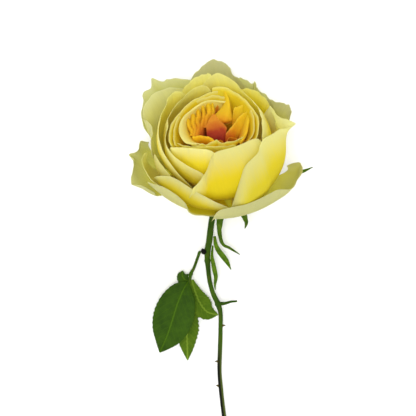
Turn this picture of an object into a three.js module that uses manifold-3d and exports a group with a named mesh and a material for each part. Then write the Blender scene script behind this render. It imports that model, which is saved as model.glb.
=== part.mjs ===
// A cut garden rose lying on a flat surface: an open, quartered bloom on a thorny stem with one leaf.
// Millimetres, +Z up. The stem runs along -Y and the bloom is at the +Y end, tilted up off the surface.
import * as THREE from "three";
import { mergeVertices } from "three/addons/utils/BufferGeometryUtils.js";
import Module from "manifold-3d";

const wasm = await Module();
wasm.setup();

// ---- Driving sizes
const BLOOM_TILT = 45; // degrees between the bloom's axis and straight up
const BLOOM_SCALE = 1; // multiplies the whole bloom, hip and sepals
const PETAL_THICKNESS = 0.5;
const LAYER_STEP = 0.9; // how much higher each petal layer starts on the core
const PETAL_ROWS = 6; // facets from a petal's foot to its lip
const CLAW = 0.7; // width of a petal's foot as a share of its lip
const FOLD_FOOT = 14; // height where the folded inner petals begin
const FOLD_TOP = 40; // height where they stand at their full plan size
const FOLD_FOOT_SHARE = 0.25; // plan size of the folds at their foot
const FOLD_THICKNESS = 0.6;
const CORE_RADIUS = 3.9;
const HIP_RADIUS = 4.5;
const HIP_HALF_LENGTH = 6.5;
const HIP_TOP = 0.5; // height of the hip's top in the bloom's own frame
const SEPAL_THICKNESS = 0.6;
const STEM_RADIUS = 1.45; // at the cut end
const STEM_LENGTH = 192; // from the foot of the bloom to the cut end, along Y
const LEAF_THICKNESS = 0.5;
const LEAF_LIFT = 2.2; // height of the leaflets' lowest point above the surface
const GAP = 0.35; // clearance between neighbouring pieces
const PETAL_ROOT = CORE_RADIUS + PETAL_THICKNESS / 2 + GAP; // radius where the petals leave the core

const radians = THREE.MathUtils.degToRad;
const point = (x, y, z) => new THREE.Vector3(x, y, z);
const curveThrough = (points) => {
  const vectors = points.map((entry) => point(...entry));
  return new THREE.CatmullRomCurve3(vectors, false, "catmullrom", 0.5);
};

// ---- Materials
const finish = (color, roughness) =>
  new THREE.MeshStandardMaterial({ color, roughness, metalness: 0, side: THREE.DoubleSide });
const paleGreen = finish(0xcdc98c, 0.6);
const cream = finish(0xd8d68f, 0.6);
const lemon = finish(0xe0d65c, 0.6);
const gold = finish(0xd9b72a, 0.6);
const orange = finish(0xc8781c, 0.6);
const leafGreen = finish(0x3d6115, 0.55);
const stemGreen = finish(0x4a6320, 0.5);
const hipGreen = finish(0x55731f, 0.5);

// ---- A thin closed sheet about a surface: surface(u, v) gives its middle, u across and v along
function sheet(surface, across, along, thickness) {
  const positions = [];
  const step = 1e-3;
  const place = (u, v) => surface(THREE.MathUtils.clamp(u, 0, 1), THREE.MathUtils.clamp(v, 0, 1));
  for (const side of [0.5, -0.5]) {
    for (let j = 0; j <= along; j += 1) {
      for (let i = 0; i <= across; i += 1) {
        const u = i / across;
        const v = j / along;
        const du = place(u + step, v).sub(place(u - step, v));
        const dv = place(u, v + step).sub(place(u, v - step));
        const normal = du.cross(dv).normalize();
        const wall = typeof thickness === "function" ? thickness(u, v) : thickness;
        positions.push(...place(u, v).addScaledVector(normal, side * wall).toArray());
      }
    }
  }
  const layer = (across + 1) * (along + 1);
  const at = (i, j) => j * (across + 1) + i;
  const indices = [];
  for (let j = 0; j < along; j += 1) {
    for (let i = 0; i < across; i += 1) {
      const [a, b, c, d] = [at(i, j), at(i + 1, j), at(i + 1, j + 1), at(i, j + 1)];
      indices.push(a, b, c, a, c, d);
      indices.push(layer + a, layer + c, layer + b, layer + a, layer + d, layer + c);
    }
  }
  const rim = [];
  for (let i = 0; i < across; i += 1) rim.push(at(i, 0));
  for (let j = 0; j < along; j += 1) rim.push(at(across, j));
  for (let i = across; i > 0; i -= 1) rim.push(at(i, along));
  for (let j = along; j > 0; j -= 1) rim.push(at(0, j));
  rim.forEach((p, index) => {
    const q = rim[(index + 1) % rim.length];
    indices.push(layer + p, layer + q, q, layer + p, q, p);
  });
  const geometry = new THREE.BufferGeometry();
  geometry.setAttribute("position", new THREE.Float32BufferAttribute(positions, 3));
  geometry.setIndex(indices);
  geometry.computeVertexNormals();
  return geometry;
}

// ---- Cup petals. In the bloom's own frame the axis is +Z. A petal follows a bowl profile from the core
// up to its rim. A belly of two sizes widens or narrows from one side to the other, and its lip is a list of [angle, height, radius] points that lets it flare or dip.
function cupPetal({ layer, belly, rim, height, lip, curl = 3 }) {
  const foot = layer * LAYER_STEP;
  const rise = height - foot;
  const [firstBelly, lastBelly] = [belly].flat().length === 2 ? belly : [belly, belly];
  const heights = [foot, foot + 0.05 * rise, foot + 0.62 * rise, height];
  const bezier = (values, t) => {
    const [a, b, c, d] = values;
    const s = 1 - t;
    return s * s * s * a + 3 * s * s * t * b + 3 * s * t * t * c + t * t * t * d;
  };
  const reachTo = (wanted) => {
    let low = 0;
    let high = 1.3;
    for (let round = 0; round < 40; round += 1) {
      const middle = (low + high) / 2;
      if (bezier(heights, middle) < wanted) low = middle;
      else high = middle;
    }
    return low;
  };
  const edge = curveThrough(lip);
  const middleAngle = (lip[0][0] + lip[lip.length - 1][0]) / 2;
  const surface = (u, v) => {
    const [lipAngle, lipHeight, lipRadius] = edge.getPoint(u).toArray();
    const bulge = THREE.MathUtils.lerp(firstBelly, lastBelly, u);
    const radii = [PETAL_ROOT, bulge, bulge, rim];
    const reach = reachTo(lipHeight);
    const t = v * reach;
    const flare = lipRadius - bezier(radii, reach);
    const radius = bezier(radii, t) + flare * v ** curl;
    const share = CLAW + (1 - CLAW) * v * (2 - v);
    const angle = radians(middleAngle + (lipAngle - middleAngle) * share);
    const h = bezier(heights, t);
    return point(radius * Math.cos(angle), radius * Math.sin(angle), h);
  };
  return sheet(surface, 2 * Math.ceil(lip.length * 0.6), PETAL_ROWS, PETAL_THICKNESS);
}

const cupPetals = {
  guard_left: {
    layer: 0, belly: 47, rim: 50, height: 17, color: paleGreen,
    lip: [[158, 12, 42], [164, 15, 46], [171, 14, 45], [177, 14, 50], [183, 15, 47], [195, 15, 49], [203, 13, 52],
      [209, 15, 48], [215, 10, 42]],
  },
  guard_front_right: {
    layer: 0, belly: 49, rim: 47, height: 24, color: paleGreen,
    lip: [[266, 12, 49], [270, 18, 46.5], [279, 20, 46.5], [289, 20, 46.5], [302, 21, 46.5], [314, 22, 47.5],
      [322, 20, 51], [329, 22, 51], [338, 22, 50.5], [345, 21, 48], [351, 17, 44], [355, 11, 39]],
  },
  guard_top_right: {
    layer: 0, belly: 45, rim: 47, height: 35, color: paleGreen,
    lip: [[42, 28, 44.5], [50, 30, 45.5], [58, 32, 45.5], [61, 33, 47], [63, 34, 49], [65, 34, 46.4], [73, 36, 46.9],
      [78, 31, 45.5]],
  },
  guard_front_left: {
    layer: 1, belly: [44, 46], rim: 45, height: 25, color: paleGreen,
    lip: [[208, 14, 43.5], [213, 19, 45.5], [222, 23, 46], [230, 25, 45.5], [240, 24, 45.5], [248, 20, 46],
      [252, 14, 48], [259, 12, 47.5], [265, 12, 45], [272, 12, 43.4]],
  },
  guard_top: {
    layer: 1, belly: 42.5, rim: 51, height: 43, color: cream,
    lip: [[62, 28, 41], [68, 34, 43], [74, 37, 44.5], [79, 38, 46.7], [82, 40, 50.7], [86, 41, 52.7], [91, 42, 54],
      [96, 42, 52.4], [101, 39, 50.4], [106, 37, 48.6], [113, 28, 45]],
  },
  guard_right: {
    layer: 1, belly: [43, 42], rim: 46, height: 32, color: cream,
    lip: [[18, 22, 38.5], [22, 28, 44], [28, 30, 47.8], [33, 31, 48.5], [38, 31, 46], [46, 31, 43], [53, 31, 41.8],
      [60, 26, 40.4]],
  },
  guard_top_left: {
    layer: 2, belly: 41, rim: 50, height: 40, color: paleGreen,
    lip: [[102, 30, 41], [108, 36, 44.5], [116, 37, 47], [124, 38, 50], [128, 37, 50.5], [132, 38, 56],
      [137, 36, 52], [144, 35, 53], [147, 33, 50], [154, 31, 48], [162, 25, 44]],
  },
  low_left: {
    layer: 2, belly: 43, rim: 43, height: 27, color: cream,
    lip: [[186, 18, 40], [190, 25, 39.5], [194, 26, 42], [199, 25, 44], [206, 24, 44.5], [216, 22, 44.5],
      [226, 21, 43.5], [234, 14, 42]],
  },
  outer_front_left: {
    layer: 3, belly: [41, 47], rim: 39, height: 29, color: lemon,
    lip: [[213, 20, 41], [219, 24, 41], [226, 26, 39], [235, 26, 37], [248, 24, 38.5], [260, 21, 40],
      [270, 18, 40.5], [277, 14, 41]],
  },
  cup_right: {
    layer: 4, belly: [35, 39], rim: 40, height: 39, color: cream,
    lip: [[6, 28, 36], [12, 34, 36], [18, 36, 36], [30, 36, 36], [40, 38, 37.2], [50, 40, 36.5], [62, 38, 35],
      [70, 34, 36]],
  },
  cup_front_right: {
    layer: 3, belly: [46, 39], rim: 35, height: 48, curl: 5, color: cream,
    lip: [[280, 16, 42], [289, 34, 38], [295, 40, 36], [307, 44, 35.5], [311, 47, 34], [319, 48, 32.5],
      [333, 46, 33.5], [342, 46, 34], [352, 42, 38], [364, 37, 44], [370, 28, 42]],
  },
  cup_left: {
    layer: 4, belly: 40, rim: 42, height: 42, color: cream,
    lip: [[112, 34, 38], [122, 38, 39], [131, 40, 41], [142, 41, 43], [150, 41, 43.6], [160, 39, 44],
      [170, 37, 42], [174, 38, 38.5], [181, 38, 35], [187, 36, 35], [190, 33, 36.6], [196, 26, 38]],
  },
  cup_back_left: {
    layer: 5, belly: 37.5, rim: 36, height: 46, color: cream,
    lip: [[92, 38, 37], [96, 45, 37], [100, 45, 37.5], [110, 44, 37], [125, 40, 34.5], [140, 30, 35.5]],
  },
  low_left_inner: {
    layer: 5, belly: 38.5, rim: 36.5, height: 31, color: lemon,
    lip: [[197, 24, 36.5], [201, 29, 36.8], [210, 29, 37], [225, 26, 37], [235, 20, 37.5]],
  },
  cup_front: {
    layer: 5, belly: [46, 37], rim: 29, height: 49, color: lemon,
    lip: [[248, 18, 39], [250, 24, 38], [252, 28, 36.5], [257, 34, 34], [261, 41, 31], [267, 46, 29.5],
      [280, 48, 29.3], [301, 49, 29], [313, 48, 30], [325, 40, 32]],
  },
  left_2: {
    layer: 6, belly: 36, rim: 32, height: 43, color: lemon,
    lip: [[128, 38, 31.5], [135, 43, 30], [141, 42, 31], [155, 42, 32], [170, 41, 32.4], [190, 39, 33],
      [205, 36, 34.5], [220, 30, 35.5]],
  },
  cup_back_right: {
    layer: 6, belly: 35, rim: 32, height: 47, color: lemon,
    lip: [[5, 36, 28], [20, 40, 27.5], [31, 42, 27], [51, 44, 27.5], [71, 46, 30.5], [86, 47, 34.5],
      [95, 46, 35], [105, 40, 33.5]],
  },
  left_3: {
    layer: 7, belly: 33, rim: 29, height: 43, color: lemon,
    lip: [[88, 38, 29.5], [92, 40, 29], [103, 41, 30], [112, 42, 30.5], [132, 42, 28], [155, 42, 28.5],
      [176, 41, 29.5], [196, 39, 30.5], [215, 35, 32.5], [230, 31, 33]],
  },
  front_left: {
    layer: 8, belly: 31.5, rim: 27.5, height: 44, color: lemon,
    lip: [[219, 34, 30], [225, 40, 28.5], [234, 42, 27.5], [250, 44, 27], [262, 44, 27], [272, 40, 27.5]],
  },
};

// ---- Folded inner petals. Each is a line in plan, [x, y, lip height], standing on the core. The plan
// shrinks toward the foot by one rule for all of them, so lines that never cross give petals that never meet.
function planShare(h) {
  const t = THREE.MathUtils.clamp((h - FOLD_FOOT) / (FOLD_TOP - FOLD_FOOT), 0, 1);
  return FOLD_FOOT_SHARE + (1 - FOLD_FOOT_SHARE) * Math.sin((t * Math.PI) / 2);
}

function foldedPetal({ lip }) {
  const line = curveThrough(lip);
  const surface = (u, v) => {
    const [x, y, top] = line.getPoint(u).toArray();
    const h = FOLD_FOOT + (top - FOLD_FOOT) * v;
    return point(x * planShare(h), y * planShare(h), h);
  };
  const thickness = (u, v) => {
    const h = FOLD_FOOT + (line.getPoint(u).z - FOLD_FOOT) * v;
    return FOLD_THICKNESS * planShare(h);
  };
  return sheet(surface, lip.length + 2, 3, thickness);
}

const foldedPetals = {
  rim_left_1: {
    color: lemon,
    lip: [[6, 25.2, 40], [0, 26.3, 40], [-5, 25.6, 40], [-12, 21.5, 40], [-18, 13.8, 40], [-23, 5, 40], [-25, -4, 40],
      [-25, -11, 40], [-23.8, -16, 40]],
  },
  rim_left_2: {
    color: gold,
    lip: [[3.8, 24, 38], [-1, 24.4, 39], [-4, 23.6, 39], [-10, 20, 39], [-15, 14.2, 39], [-19.8, 7, 39], [-22.2, -1, 39],
      [-22.6, -9, 39], [-21.5, -15.5, 39]],
  },
  rim_left_3: {
    color: lemon,
    lip: [[3, 21.8, 37], [0, 22, 38], [-5, 20.5, 38], [-10.5, 16.4, 38], [-15, 11.5, 38], [-18.2, 6, 38],
      [-20, -1.5, 38], [-20.3, -9, 38], [-19, -14.5, 38]],
  },
  rim_right_1: {
    color: lemon,
    lip: [[-3, 28.3, 41], [3, 27.9, 42], [10, 24.9, 42], [16.2, 18.2, 42], [20, 10.5, 41], [21.3, 3, 40], [20.9, -7, 40],
      [18, -15.5, 41], [13.5, -21, 42]],
  },
  rim_right_2: {
    color: gold,
    lip: [[9, 22.8, 41], [12.4, 20.6, 40], [16.2, 15.2, 40], [18.2, 8, 40], [18.9, 0, 40], [18, -8, 40],
      [15.5, -14, 40]],
  },
  rim_front_1: {
    color: lemon,
    lip: [[-14, -21.3, 41], [-5, -23.3, 43], [4, -23.5, 43.5], [10, -22, 43]],
  },
  rim_front_2: {
    color: lemon,
    lip: [[-16, -17, 40], [-9, -19.5, 41.5], [0, -20, 42], [8, -19.3, 42], [12, -17.5, 41]],
  },
  twist_top: {
    color: gold,
    lip: [[6.6, 23.4, 41], [7.1, 20, 40], [7.6, 14, 38], [6.3, 10.9, 35], [3.2, 11.2, 33], [-0.5, 14.4, 33],
      [-0.6, 14.7, 33.5]],
  },
  loop_top: {
    color: orange,
    lip: [[-1, 16.6, 33], [-0.8, 18.8, 35], [0.9, 19.8, 36], [2.8, 18.5, 35.5], [3.1, 16, 34], [2.6, 14.4, 32]],
  },
  fold_right_1: {
    color: gold,
    lip: [[13.6, 17, 38], [11.5, 16.6, 38], [10.2, 15, 37], [10, 12, 36], [9, 9.3, 34], [7, 8.2, 33], [5.6, 6.8, 32]],
  },
  fold_right_2: {
    color: gold,
    lip: [[15, 13, 37.5], [13.9, 11.5, 37], [12.8, 9.3, 36], [12.2, 6.4, 35], [10, 4.9, 33], [8, 3.6, 32],
      [6.3, 3.2, 31]],
  },
  fold_right_3: {
    color: gold,
    lip: [[16, 8.8, 37], [14.8, 5, 37], [13.9, -1, 36], [13.3, -7, 36], [12.2, -12, 37]],
  },
  fold_left_1: {
    color: gold,
    lip: [[-14.6, 9, 37], [-16, 5.5, 36], [-16.9, 1, 36], [-16.5, -3, 35]],
  },
  fold_left_2: {
    color: gold,
    lip: [[-12.6, 12, 37], [-13, 8, 36], [-13.6, 4, 35], [-14.3, 0, 34]],
  },
  fold_left_3: {
    color: gold,
    lip: [[-9.8, 14.5, 37], [-10.2, 10.5, 36], [-11, 5.5, 35], [-12.3, -1, 33]],
  },
  fold_left_4: {
    color: orange,
    lip: [[-7.5, 16.2, 36], [-8, 12, 34.5], [-8.6, 7, 33], [-10, 2.5, 32]],
  },
  fold_left_5: {
    color: orange,
    lip: [[-5.2, 17.2, 36], [-5.8, 14, 35], [-6.2, 11, 33], [-6.6, 9, 32]],
  },
  fold_left_6: {
    color: orange,
    lip: [[-2.4, 19.3, 36], [-3.7, 17.3, 35], [-4.1, 14, 34], [-3.8, 12.2, 33]],
  },
  heart: {
    color: orange,
    lip: [[-6.5, 2, 31], [-5.4, 6.5, 34], [-2, 9.4, 36.5], [1.5, 7, 35], [3.9, 2.8, 32], [4.1, 1, 31]],
  },
  fold_front_1: {
    color: orange,
    lip: [[-14, -5, 36], [-11.8, -9.5, 37], [-9, -14.8, 39], [-6, -15.5, 39], [-3, -12.5, 38], [-1.5, -8, 36]],
  },
  fold_front_2: {
    color: orange,
    lip: [[-0.4, -12.5, 37], [0.9, -10, 37], [2.6, -10.8, 37], [3.9, -13.5, 38]],
  },
  fold_front_3: {
    color: orange,
    lip: [[5, -3.8, 34], [5.2, -9, 36], [6.6, -13.2, 37], [9.6, -11.6, 37], [11.3, -5.8, 36], [9.9, -1.8, 34],
      [7.3, -0.8, 33]],
  },
};

const bloom = new THREE.Group();
bloom.rotation.x = -radians(BLOOM_TILT);
bloom.scale.setScalar(BLOOM_SCALE);

function addTo(group, name, geometry, material) {
  const mesh = new THREE.Mesh(geometry, material);
  mesh.name = name;
  group.add(mesh);
  return mesh;
}

for (const [name, petal] of Object.entries(cupPetals)) {
  addTo(bloom, name, cupPetal(petal), petal.color);
}
for (const [name, petal] of Object.entries(foldedPetals)) {
  addTo(bloom, name, foldedPetal(petal), petal.color);
}

// ---- The core the petals stand on, and the hip below it
const coreProfile = [
  [0, HIP_TOP + GAP],
  [CORE_RADIUS - 0.6, HIP_TOP + GAP],
  [CORE_RADIUS, HIP_TOP + GAP + 0.8],
  [CORE_RADIUS, FOLD_FOOT - 3.5],
  [CORE_RADIUS - 1.4, FOLD_FOOT - 1.1],
  [0, FOLD_FOOT - GAP],
].map(([radius, h]) => new THREE.Vector2(radius, h));
const coreGeometry = new THREE.LatheGeometry(coreProfile, 14);
coreGeometry.rotateX(Math.PI / 2);
addTo(bloom, "flower_core", coreGeometry, gold);

const hipGeometry = new THREE.SphereGeometry(1, 16, 10);
hipGeometry.rotateX(Math.PI / 2);
hipGeometry.scale(HIP_RADIUS, HIP_RADIUS, HIP_HALF_LENGTH);
const hip = addTo(bloom, "hip", hipGeometry, hipGreen);
hip.position.z = HIP_TOP - HIP_HALF_LENGTH;

// ---- Narrow and broad blades: a middle line, its widths and how far the two halves fold up
function blade({ line, widths, fold, thickness, face = [0, 0, 1], across = 4, rows = 10 }) {
  const middle = curveThrough(line);
  const width = curveThrough(widths.map((value, index) => [index, value, 0]));
  const facing = point(...face).normalize();
  const surface = (u, v) => {
    const centre = middle.getPoint(v);
    const ahead = middle.getPoint(Math.min(v + 0.01, 1)).sub(middle.getPoint(Math.max(v - 0.01, 0)));
    const side = ahead.normalize().cross(facing).normalize();
    const half = Math.max(width.getPoint(v).y, 0.5) / 2;
    const offset = (2 * u - 1) * half;
    const lift = fold * Math.abs(offset);
    return centre.addScaledVector(side, offset).addScaledVector(facing, lift);
  };
  return sheet(surface, across, rows, thickness);
}

// Sepals leave the shoulder of the hip under the petals. Their halves fold about the direction of face.
const shoulder = -1.1 - SEPAL_THICKNESS;
const sepals = {
  sepal_long: {
    line: [[1.6, -HIP_RADIUS, shoulder], [2.2, -9.9, -9.6], [1.8, -14.8, -19], [1.4, -18, -27], [3.2, -21.2, -34],
      [8, -22, -37.5], [13.4, -23.5, -41]],
    widths: [2.6, 4, 4.4, 2.8, 1.9, 1.5, 0.8], fold: 0.25,
  },
  sepal_front_right: {
    line: [[HIP_RADIUS - 0.3, -3.2, shoulder], [9, -8.5, -4.4], [12.4, -13.8, -8.8], [15.2, -16.3, -14.8],
      [16.8, -18, -20], [16, -19.3, -23.5]],
    widths: [2.6, 5, 5, 3.8, 2.2, 0.7], fold: 0.2,
  },
  sepal_right: {
    line: [[HIP_RADIUS + 0.4, 0.8, shoulder], [16, 2.2, -2.4], [28, 2.6, -1.8], [40, 2.8, -0.4], [49, 3, 1.3], [55, 4, 3.1]],
    widths: [2.6, 6, 5.5, 4, 2.2, 0.7], fold: -0.15,
  },
  sepal_back: {
    line: [[2.6, HIP_RADIUS - 0.2, shoulder - 0.3], [7.5, 9.7, -3.4], [11, 11.3, -5.8], [13, 10.3, -8.8], [13.5, 7.5, -11.7]],
    widths: [2.6, 5, 4.5, 2.6, 0.8], fold: 0.1,
  },
  sepal_left: {
    line: [[-HIP_RADIUS - 0.3, 1, shoulder - 0.2], [-13, 3.2, -3.9], [-20, 3.5, -7.8], [-25, 1.4, -12.7], [-27, -1.8, -16.6]],
    widths: [2.6, 6, 5, 3, 0.8], fold: 0.1,
  },
};
for (const [name, shape] of Object.entries(sepals)) {
  addTo(bloom, name, blade({ ...shape, face: [0, -1, 1], thickness: SEPAL_THICKNESS }), hipGreen);
}

const flower = new THREE.Group();
flower.add(bloom);

// ---- The surface it lies on is level with the lowest petal
flower.updateMatrixWorld(true);
const surfaceHeight = new THREE.Box3().setFromObject(bloom, true).min.z;

// ---- Stem: a round shoot that bends under the bloom and comes down to the surface at its cut end
function shoot(line, radii, sides, rings) {
  const middle = curveThrough(line);
  const radius = curveThrough(radii.map((value, index) => [index, value, 0]));
  const positions = [];
  const indices = [];
  for (let ring = 0; ring <= rings; ring += 1) {
    const v = ring / rings;
    const centre = middle.getPoint(v);
    const ahead = middle.getPoint(Math.min(v + 0.01, 1)).sub(middle.getPoint(Math.max(v - 0.01, 0))).normalize();
    const across = ahead.clone().cross(point(0, 0, 1)).normalize();
    const up = across.clone().cross(ahead);
    for (let side = 0; side < sides; side += 1) {
      const turn = (2 * Math.PI * side) / sides;
      const spot = centre.clone().addScaledVector(across, radius.getPoint(v).y * Math.cos(turn));
      positions.push(...spot.addScaledVector(up, radius.getPoint(v).y * Math.sin(turn)).toArray());
    }
  }
  const first = positions.length / 3;
  positions.push(...middle.getPoint(0).toArray(), ...middle.getPoint(1).toArray());
  for (let side = 0; side < sides; side += 1) {
    const next = (side + 1) % sides;
    for (let ring = 0; ring < rings; ring += 1) {
      const a = ring * sides + side;
      const b = ring * sides + next;
      indices.push(a, b + sides, b, a, a + sides, b + sides);
    }
    indices.push(first, side, next);
    indices.push(first + 1, rings * sides + next, rings * sides + side);
  }
  const geometry = new THREE.BufferGeometry();
  geometry.setAttribute("position", new THREE.Float32BufferAttribute(positions, 3));
  geometry.setIndex(indices);
  return geometry;
}

function toSolid(geometry) {
  const bare = geometry.clone();
  bare.deleteAttribute("normal");
  bare.deleteAttribute("uv");
  const merged = mergeVertices(bare, 1e-4);
  const mesh = new wasm.Mesh({
    numProp: 3,
    vertProperties: new Float32Array(merged.attributes.position.array),
    triVerts: new Uint32Array(merged.index.array),
  });
  return new wasm.Manifold(mesh);
}

function toGeometry(solid) {
  const mesh = solid.getMesh();
  const geometry = new THREE.BufferGeometry();
  geometry.setAttribute("position", new THREE.Float32BufferAttribute(mesh.vertProperties, 3));
  geometry.setIndex(Array.from(mesh.triVerts));
  geometry.computeVertexNormals();
  return geometry;
}

const hipFoot = (HIP_HALF_LENGTH * 2 - HIP_TOP + GAP) * BLOOM_SCALE;
const tilt = radians(BLOOM_TILT);
const BARE_FROM = 125; // below this length the stem is plain and comes down to the surface
const down = (share) => -BARE_FROM - (STEM_LENGTH - BARE_FROM) * share;
const restHeight = surfaceHeight + STEM_RADIUS;
const lowered = (share) => THREE.MathUtils.lerp(-11.6, restHeight, share);
const alongAxis = (distance) => [0, -distance * Math.sin(tilt), -distance * Math.cos(tilt)];
const stemLine = [
  alongAxis(hipFoot), alongAxis(hipFoot + 2), [-0.6, -14, -11.6], [-1.7, -20, -12], [-2.9, -27, -11.8], [-4, -37, -11.4], [-5.2, -44, -11.2],
  [-5.2, -50, -11], [-4.3, -60.4, -10.8], [-2.3, -68, -10.6], [0.6, -74.3, -10.4], [2.1, -80, -10.4],
  [2.1, -89.5, -10.4], [1.8, -101, -10.6], [1.5, -113, -11], [2.4, down(0), lowered(0)],
  [4.1, down(0.22), lowered(0.12)], [5.6, down(0.42), lowered(0.3)], [6.6, down(0.6), lowered(0.55)],
  [7.2, down(0.8), lowered(0.85)], [7.8, down(1), restHeight],
];
const stemRadii = [
  1.1, 1.08, 1.06, 1.03, 1.03, 1.17, 1.17, 0.94, 0.9, 0.94, 1.1, 0.9, 0.87, 0.9, 0.87, 0.9, 0.88, 0.9, 0.93, 0.96, 1,
].map((share) => share * STEM_RADIUS);
const stemMiddle = curveThrough(stemLine);
const stemWidth = curveThrough(stemRadii.map((value, index) => [index, value, 0]));
// The stem's middle and radius where it crosses a distance from the bloom
function stemAt(distance) {
  let low = 0;
  let high = 1;
  for (let round = 0; round < 40; round += 1) {
    const middle = (low + high) / 2;
    if (-stemMiddle.getPoint(middle).y < distance) low = middle;
    else high = middle;
  }
  return { spot: stemMiddle.getPoint(low), radius: stemWidth.getPoint(low).y };
}
let stemSolid = toSolid(shoot(stemLine, stemRadii, 8, 34));

// A side twig stub at the lower bud
const { spot: node } = stemAt(74.4);
const stubLine = [[0.5, 0, 0], [4.7, 0.6, 0], [7.4, 1.4, 0.2], [11.1, 1.8, 0.8]].map(([x, y, z]) => [
  node.x + x, node.y + y, node.z + z,
]);
stemSolid = stemSolid.add(toSolid(shoot(stubLine, [1.1, 0.9, 0.7, 0.5], 6, 5)));

// The dark bud where the leaf grows, and a few small prickles
const BUD_RADIUS = 1.5;
const { spot: leafNode, radius: nodeRadius } = stemAt(43.8);
const budCentre = leafNode.clone().add(point(-nodeRadius - 0.35, 0, 0.2));
const bud = new THREE.SphereGeometry(BUD_RADIUS, 8, 6);
bud.translate(...budCentre.toArray());
stemSolid = stemSolid.add(toSolid(bud));
const PRICKLE_LENGTH = 2;
const prickles = [
  { distance: 87.2, toward: [1, 0.3, 0.2] },
  { distance: 108, toward: [-1, 0.2, 0.3] },
  { distance: 122.5, toward: [-1, 0.3, 0.1] },
  { distance: 0.22 * STEM_LENGTH + 100, toward: [1, 0.2, 0.5] },
  { distance: 0.3 * STEM_LENGTH + 100, toward: [-1, 0.2, 0.5] },
];
for (const { distance, toward } of prickles) {
  const { spot, radius } = stemAt(distance);
  const prickle = new THREE.ConeGeometry(0.7, PRICKLE_LENGTH + radius * 0.8, 6);
  prickle.translate(0, (PRICKLE_LENGTH + radius * 0.8) / 2, 0);
  const turn = new THREE.Quaternion().setFromUnitVectors(point(0, 1, 0), point(...toward).normalize());
  prickle.applyQuaternion(turn);
  prickle.translate(...spot.toArray());
  stemSolid = stemSolid.add(toSolid(prickle));
}
addTo(flower, "stem", toGeometry(stemSolid), stemGreen);

// ---- The leaf: a stalk from the bud with four leaflets, lying just above the surface
const leafLevel = surfaceHeight + LEAF_LIFT;
const stalkLine = [
  [budCentre.x - BUD_RADIUS - GAP, budCentre.y - 0.2, budCentre.z],
  [budCentre.x - BUD_RADIUS - GAP - 0.8, budCentre.y - 0.5, budCentre.z - 0.1], [-10.9, -46.4, -11.4], [-13.4, -53.4, -11.8],
  [-15.1, -56.6, leafLevel + 2], [-15.8, -60.4, leafLevel + 1.5],
];
addTo(flower, "leaf_stalk", shoot(stalkLine, [0.8, 0.75, 0.7, 0.65, 0.8, 0.6], 7, 10), stemGreen);

const leaflets = {
  leaflet_end: {
    line: [[-16.9, -61.6, leafLevel + 2.2], [-20, -67, leafLevel + 3.4], [-23.2, -75, leafLevel + 4], [-26, -84, leafLevel + 3.6],
      [-29, -93, leafLevel + 2.4], [-31.6, -99, leafLevel + 1.4], [-33.6, -103.2, leafLevel + 0.9]],
    widths: [2, 15, 22.5, 24.5, 18.5, 9, 1], fold: 0.06, across: 6,
  },
  leaflet_under: {
    line: [[-15.9, -61.8, leafLevel - 0.3], [-16.2, -70, leafLevel - 1], [-17, -80, leafLevel - 1.2], [-17.6, -90, leafLevel - 1.2],
      [-17.4, -99, leafLevel - 1.4], [-17.2, -108.2, leafLevel - 1.6]],
    widths: [1.5, 6, 12, 15, 9.5, 1], fold: 0, across: 4,
  },
  leaflet_right: {
    line: [[-14.4, -60.9, leafLevel + 0.3], [-11.6, -66.5, leafLevel], [-8, -72.6, leafLevel + 0.4], [-4, -78, leafLevel + 0.4],
      [0.8, -80.8, leafLevel + 0.2]],
    widths: [1.5, 6, 9.5, 8, 1], fold: 0.12, across: 4,
  },
  leaflet_small: {
    line: [[-17.2, -60.1, leafLevel + 1], [-19, -59.6, leafLevel + 1.3], [-20.4, -57.8, leafLevel + 1.4], [-20, -55.2, leafLevel + 1.2]],
    widths: [2, 6, 5.5, 1], fold: 0.05, across: 4, rows: 6,
  },
};
for (const [name, shape] of Object.entries(leaflets)) {
  addTo(flower, name, blade({ ...shape, thickness: LEAF_THICKNESS }), leafGreen);
}

// ---- Two narrow bracts beside the upper stem: [out from the stem's side, distance down it, height]
const BRACT_THICKNESS = 0.5;
const NECK = 36 * BLOOM_SCALE; // how far down the stem the first bract grows
const beside = (points) =>
  points.map(([out, distance, height]) => {
    const { spot, radius } = stemAt(NECK + distance);
    return [spot.x + radius + out, -NECK - distance, spot.z + height];
  });
const bracts = {
  bract_right: {
    line: beside([[1.5, 0, 1.2], [2.6, 4, 1.6], [4.8, 7.4, 1.6], [7.2, 10.2, 1.4], [9.8, 13.8, 0.6], [11.9, 18.5, -0.6]]),
    widths: [1.6, 2.2, 2.4, 2.4, 2, 0.8],
  },
  bract_left: {
    line: beside([[0.9, 5.5, 0.8], [1, 10.4, 1.4], [1.6, 14, 1.9], [2.2, 18.5, 1.9], [2.6, 22.6, 1.8], [1.3, 27, 1.6],
      [0.6, 30.2, 1.3]]),
    widths: [0.8, 1.8, 2.4, 2.7, 2.3, 1.4, 0.6],
  },
};
for (const [name, shape] of Object.entries(bracts)) {
  addTo(flower, name, blade({ ...shape, thickness: BRACT_THICKNESS, fold: 0.15 }), leafGreen);
}

// ---- The origin is the middle of the footprint, on the surface
flower.updateMatrixWorld(true);
const extent = new THREE.Box3().setFromObject(flower, true);
const centre = extent.getCenter(point(0, 0, 0));
flower.position.set(-centre.x, -centre.y, -extent.min.z);

const rose = new THREE.Group();
rose.add(flower);
rose.updateMatrixWorld(true);
export default rose;
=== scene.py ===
import math

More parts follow.
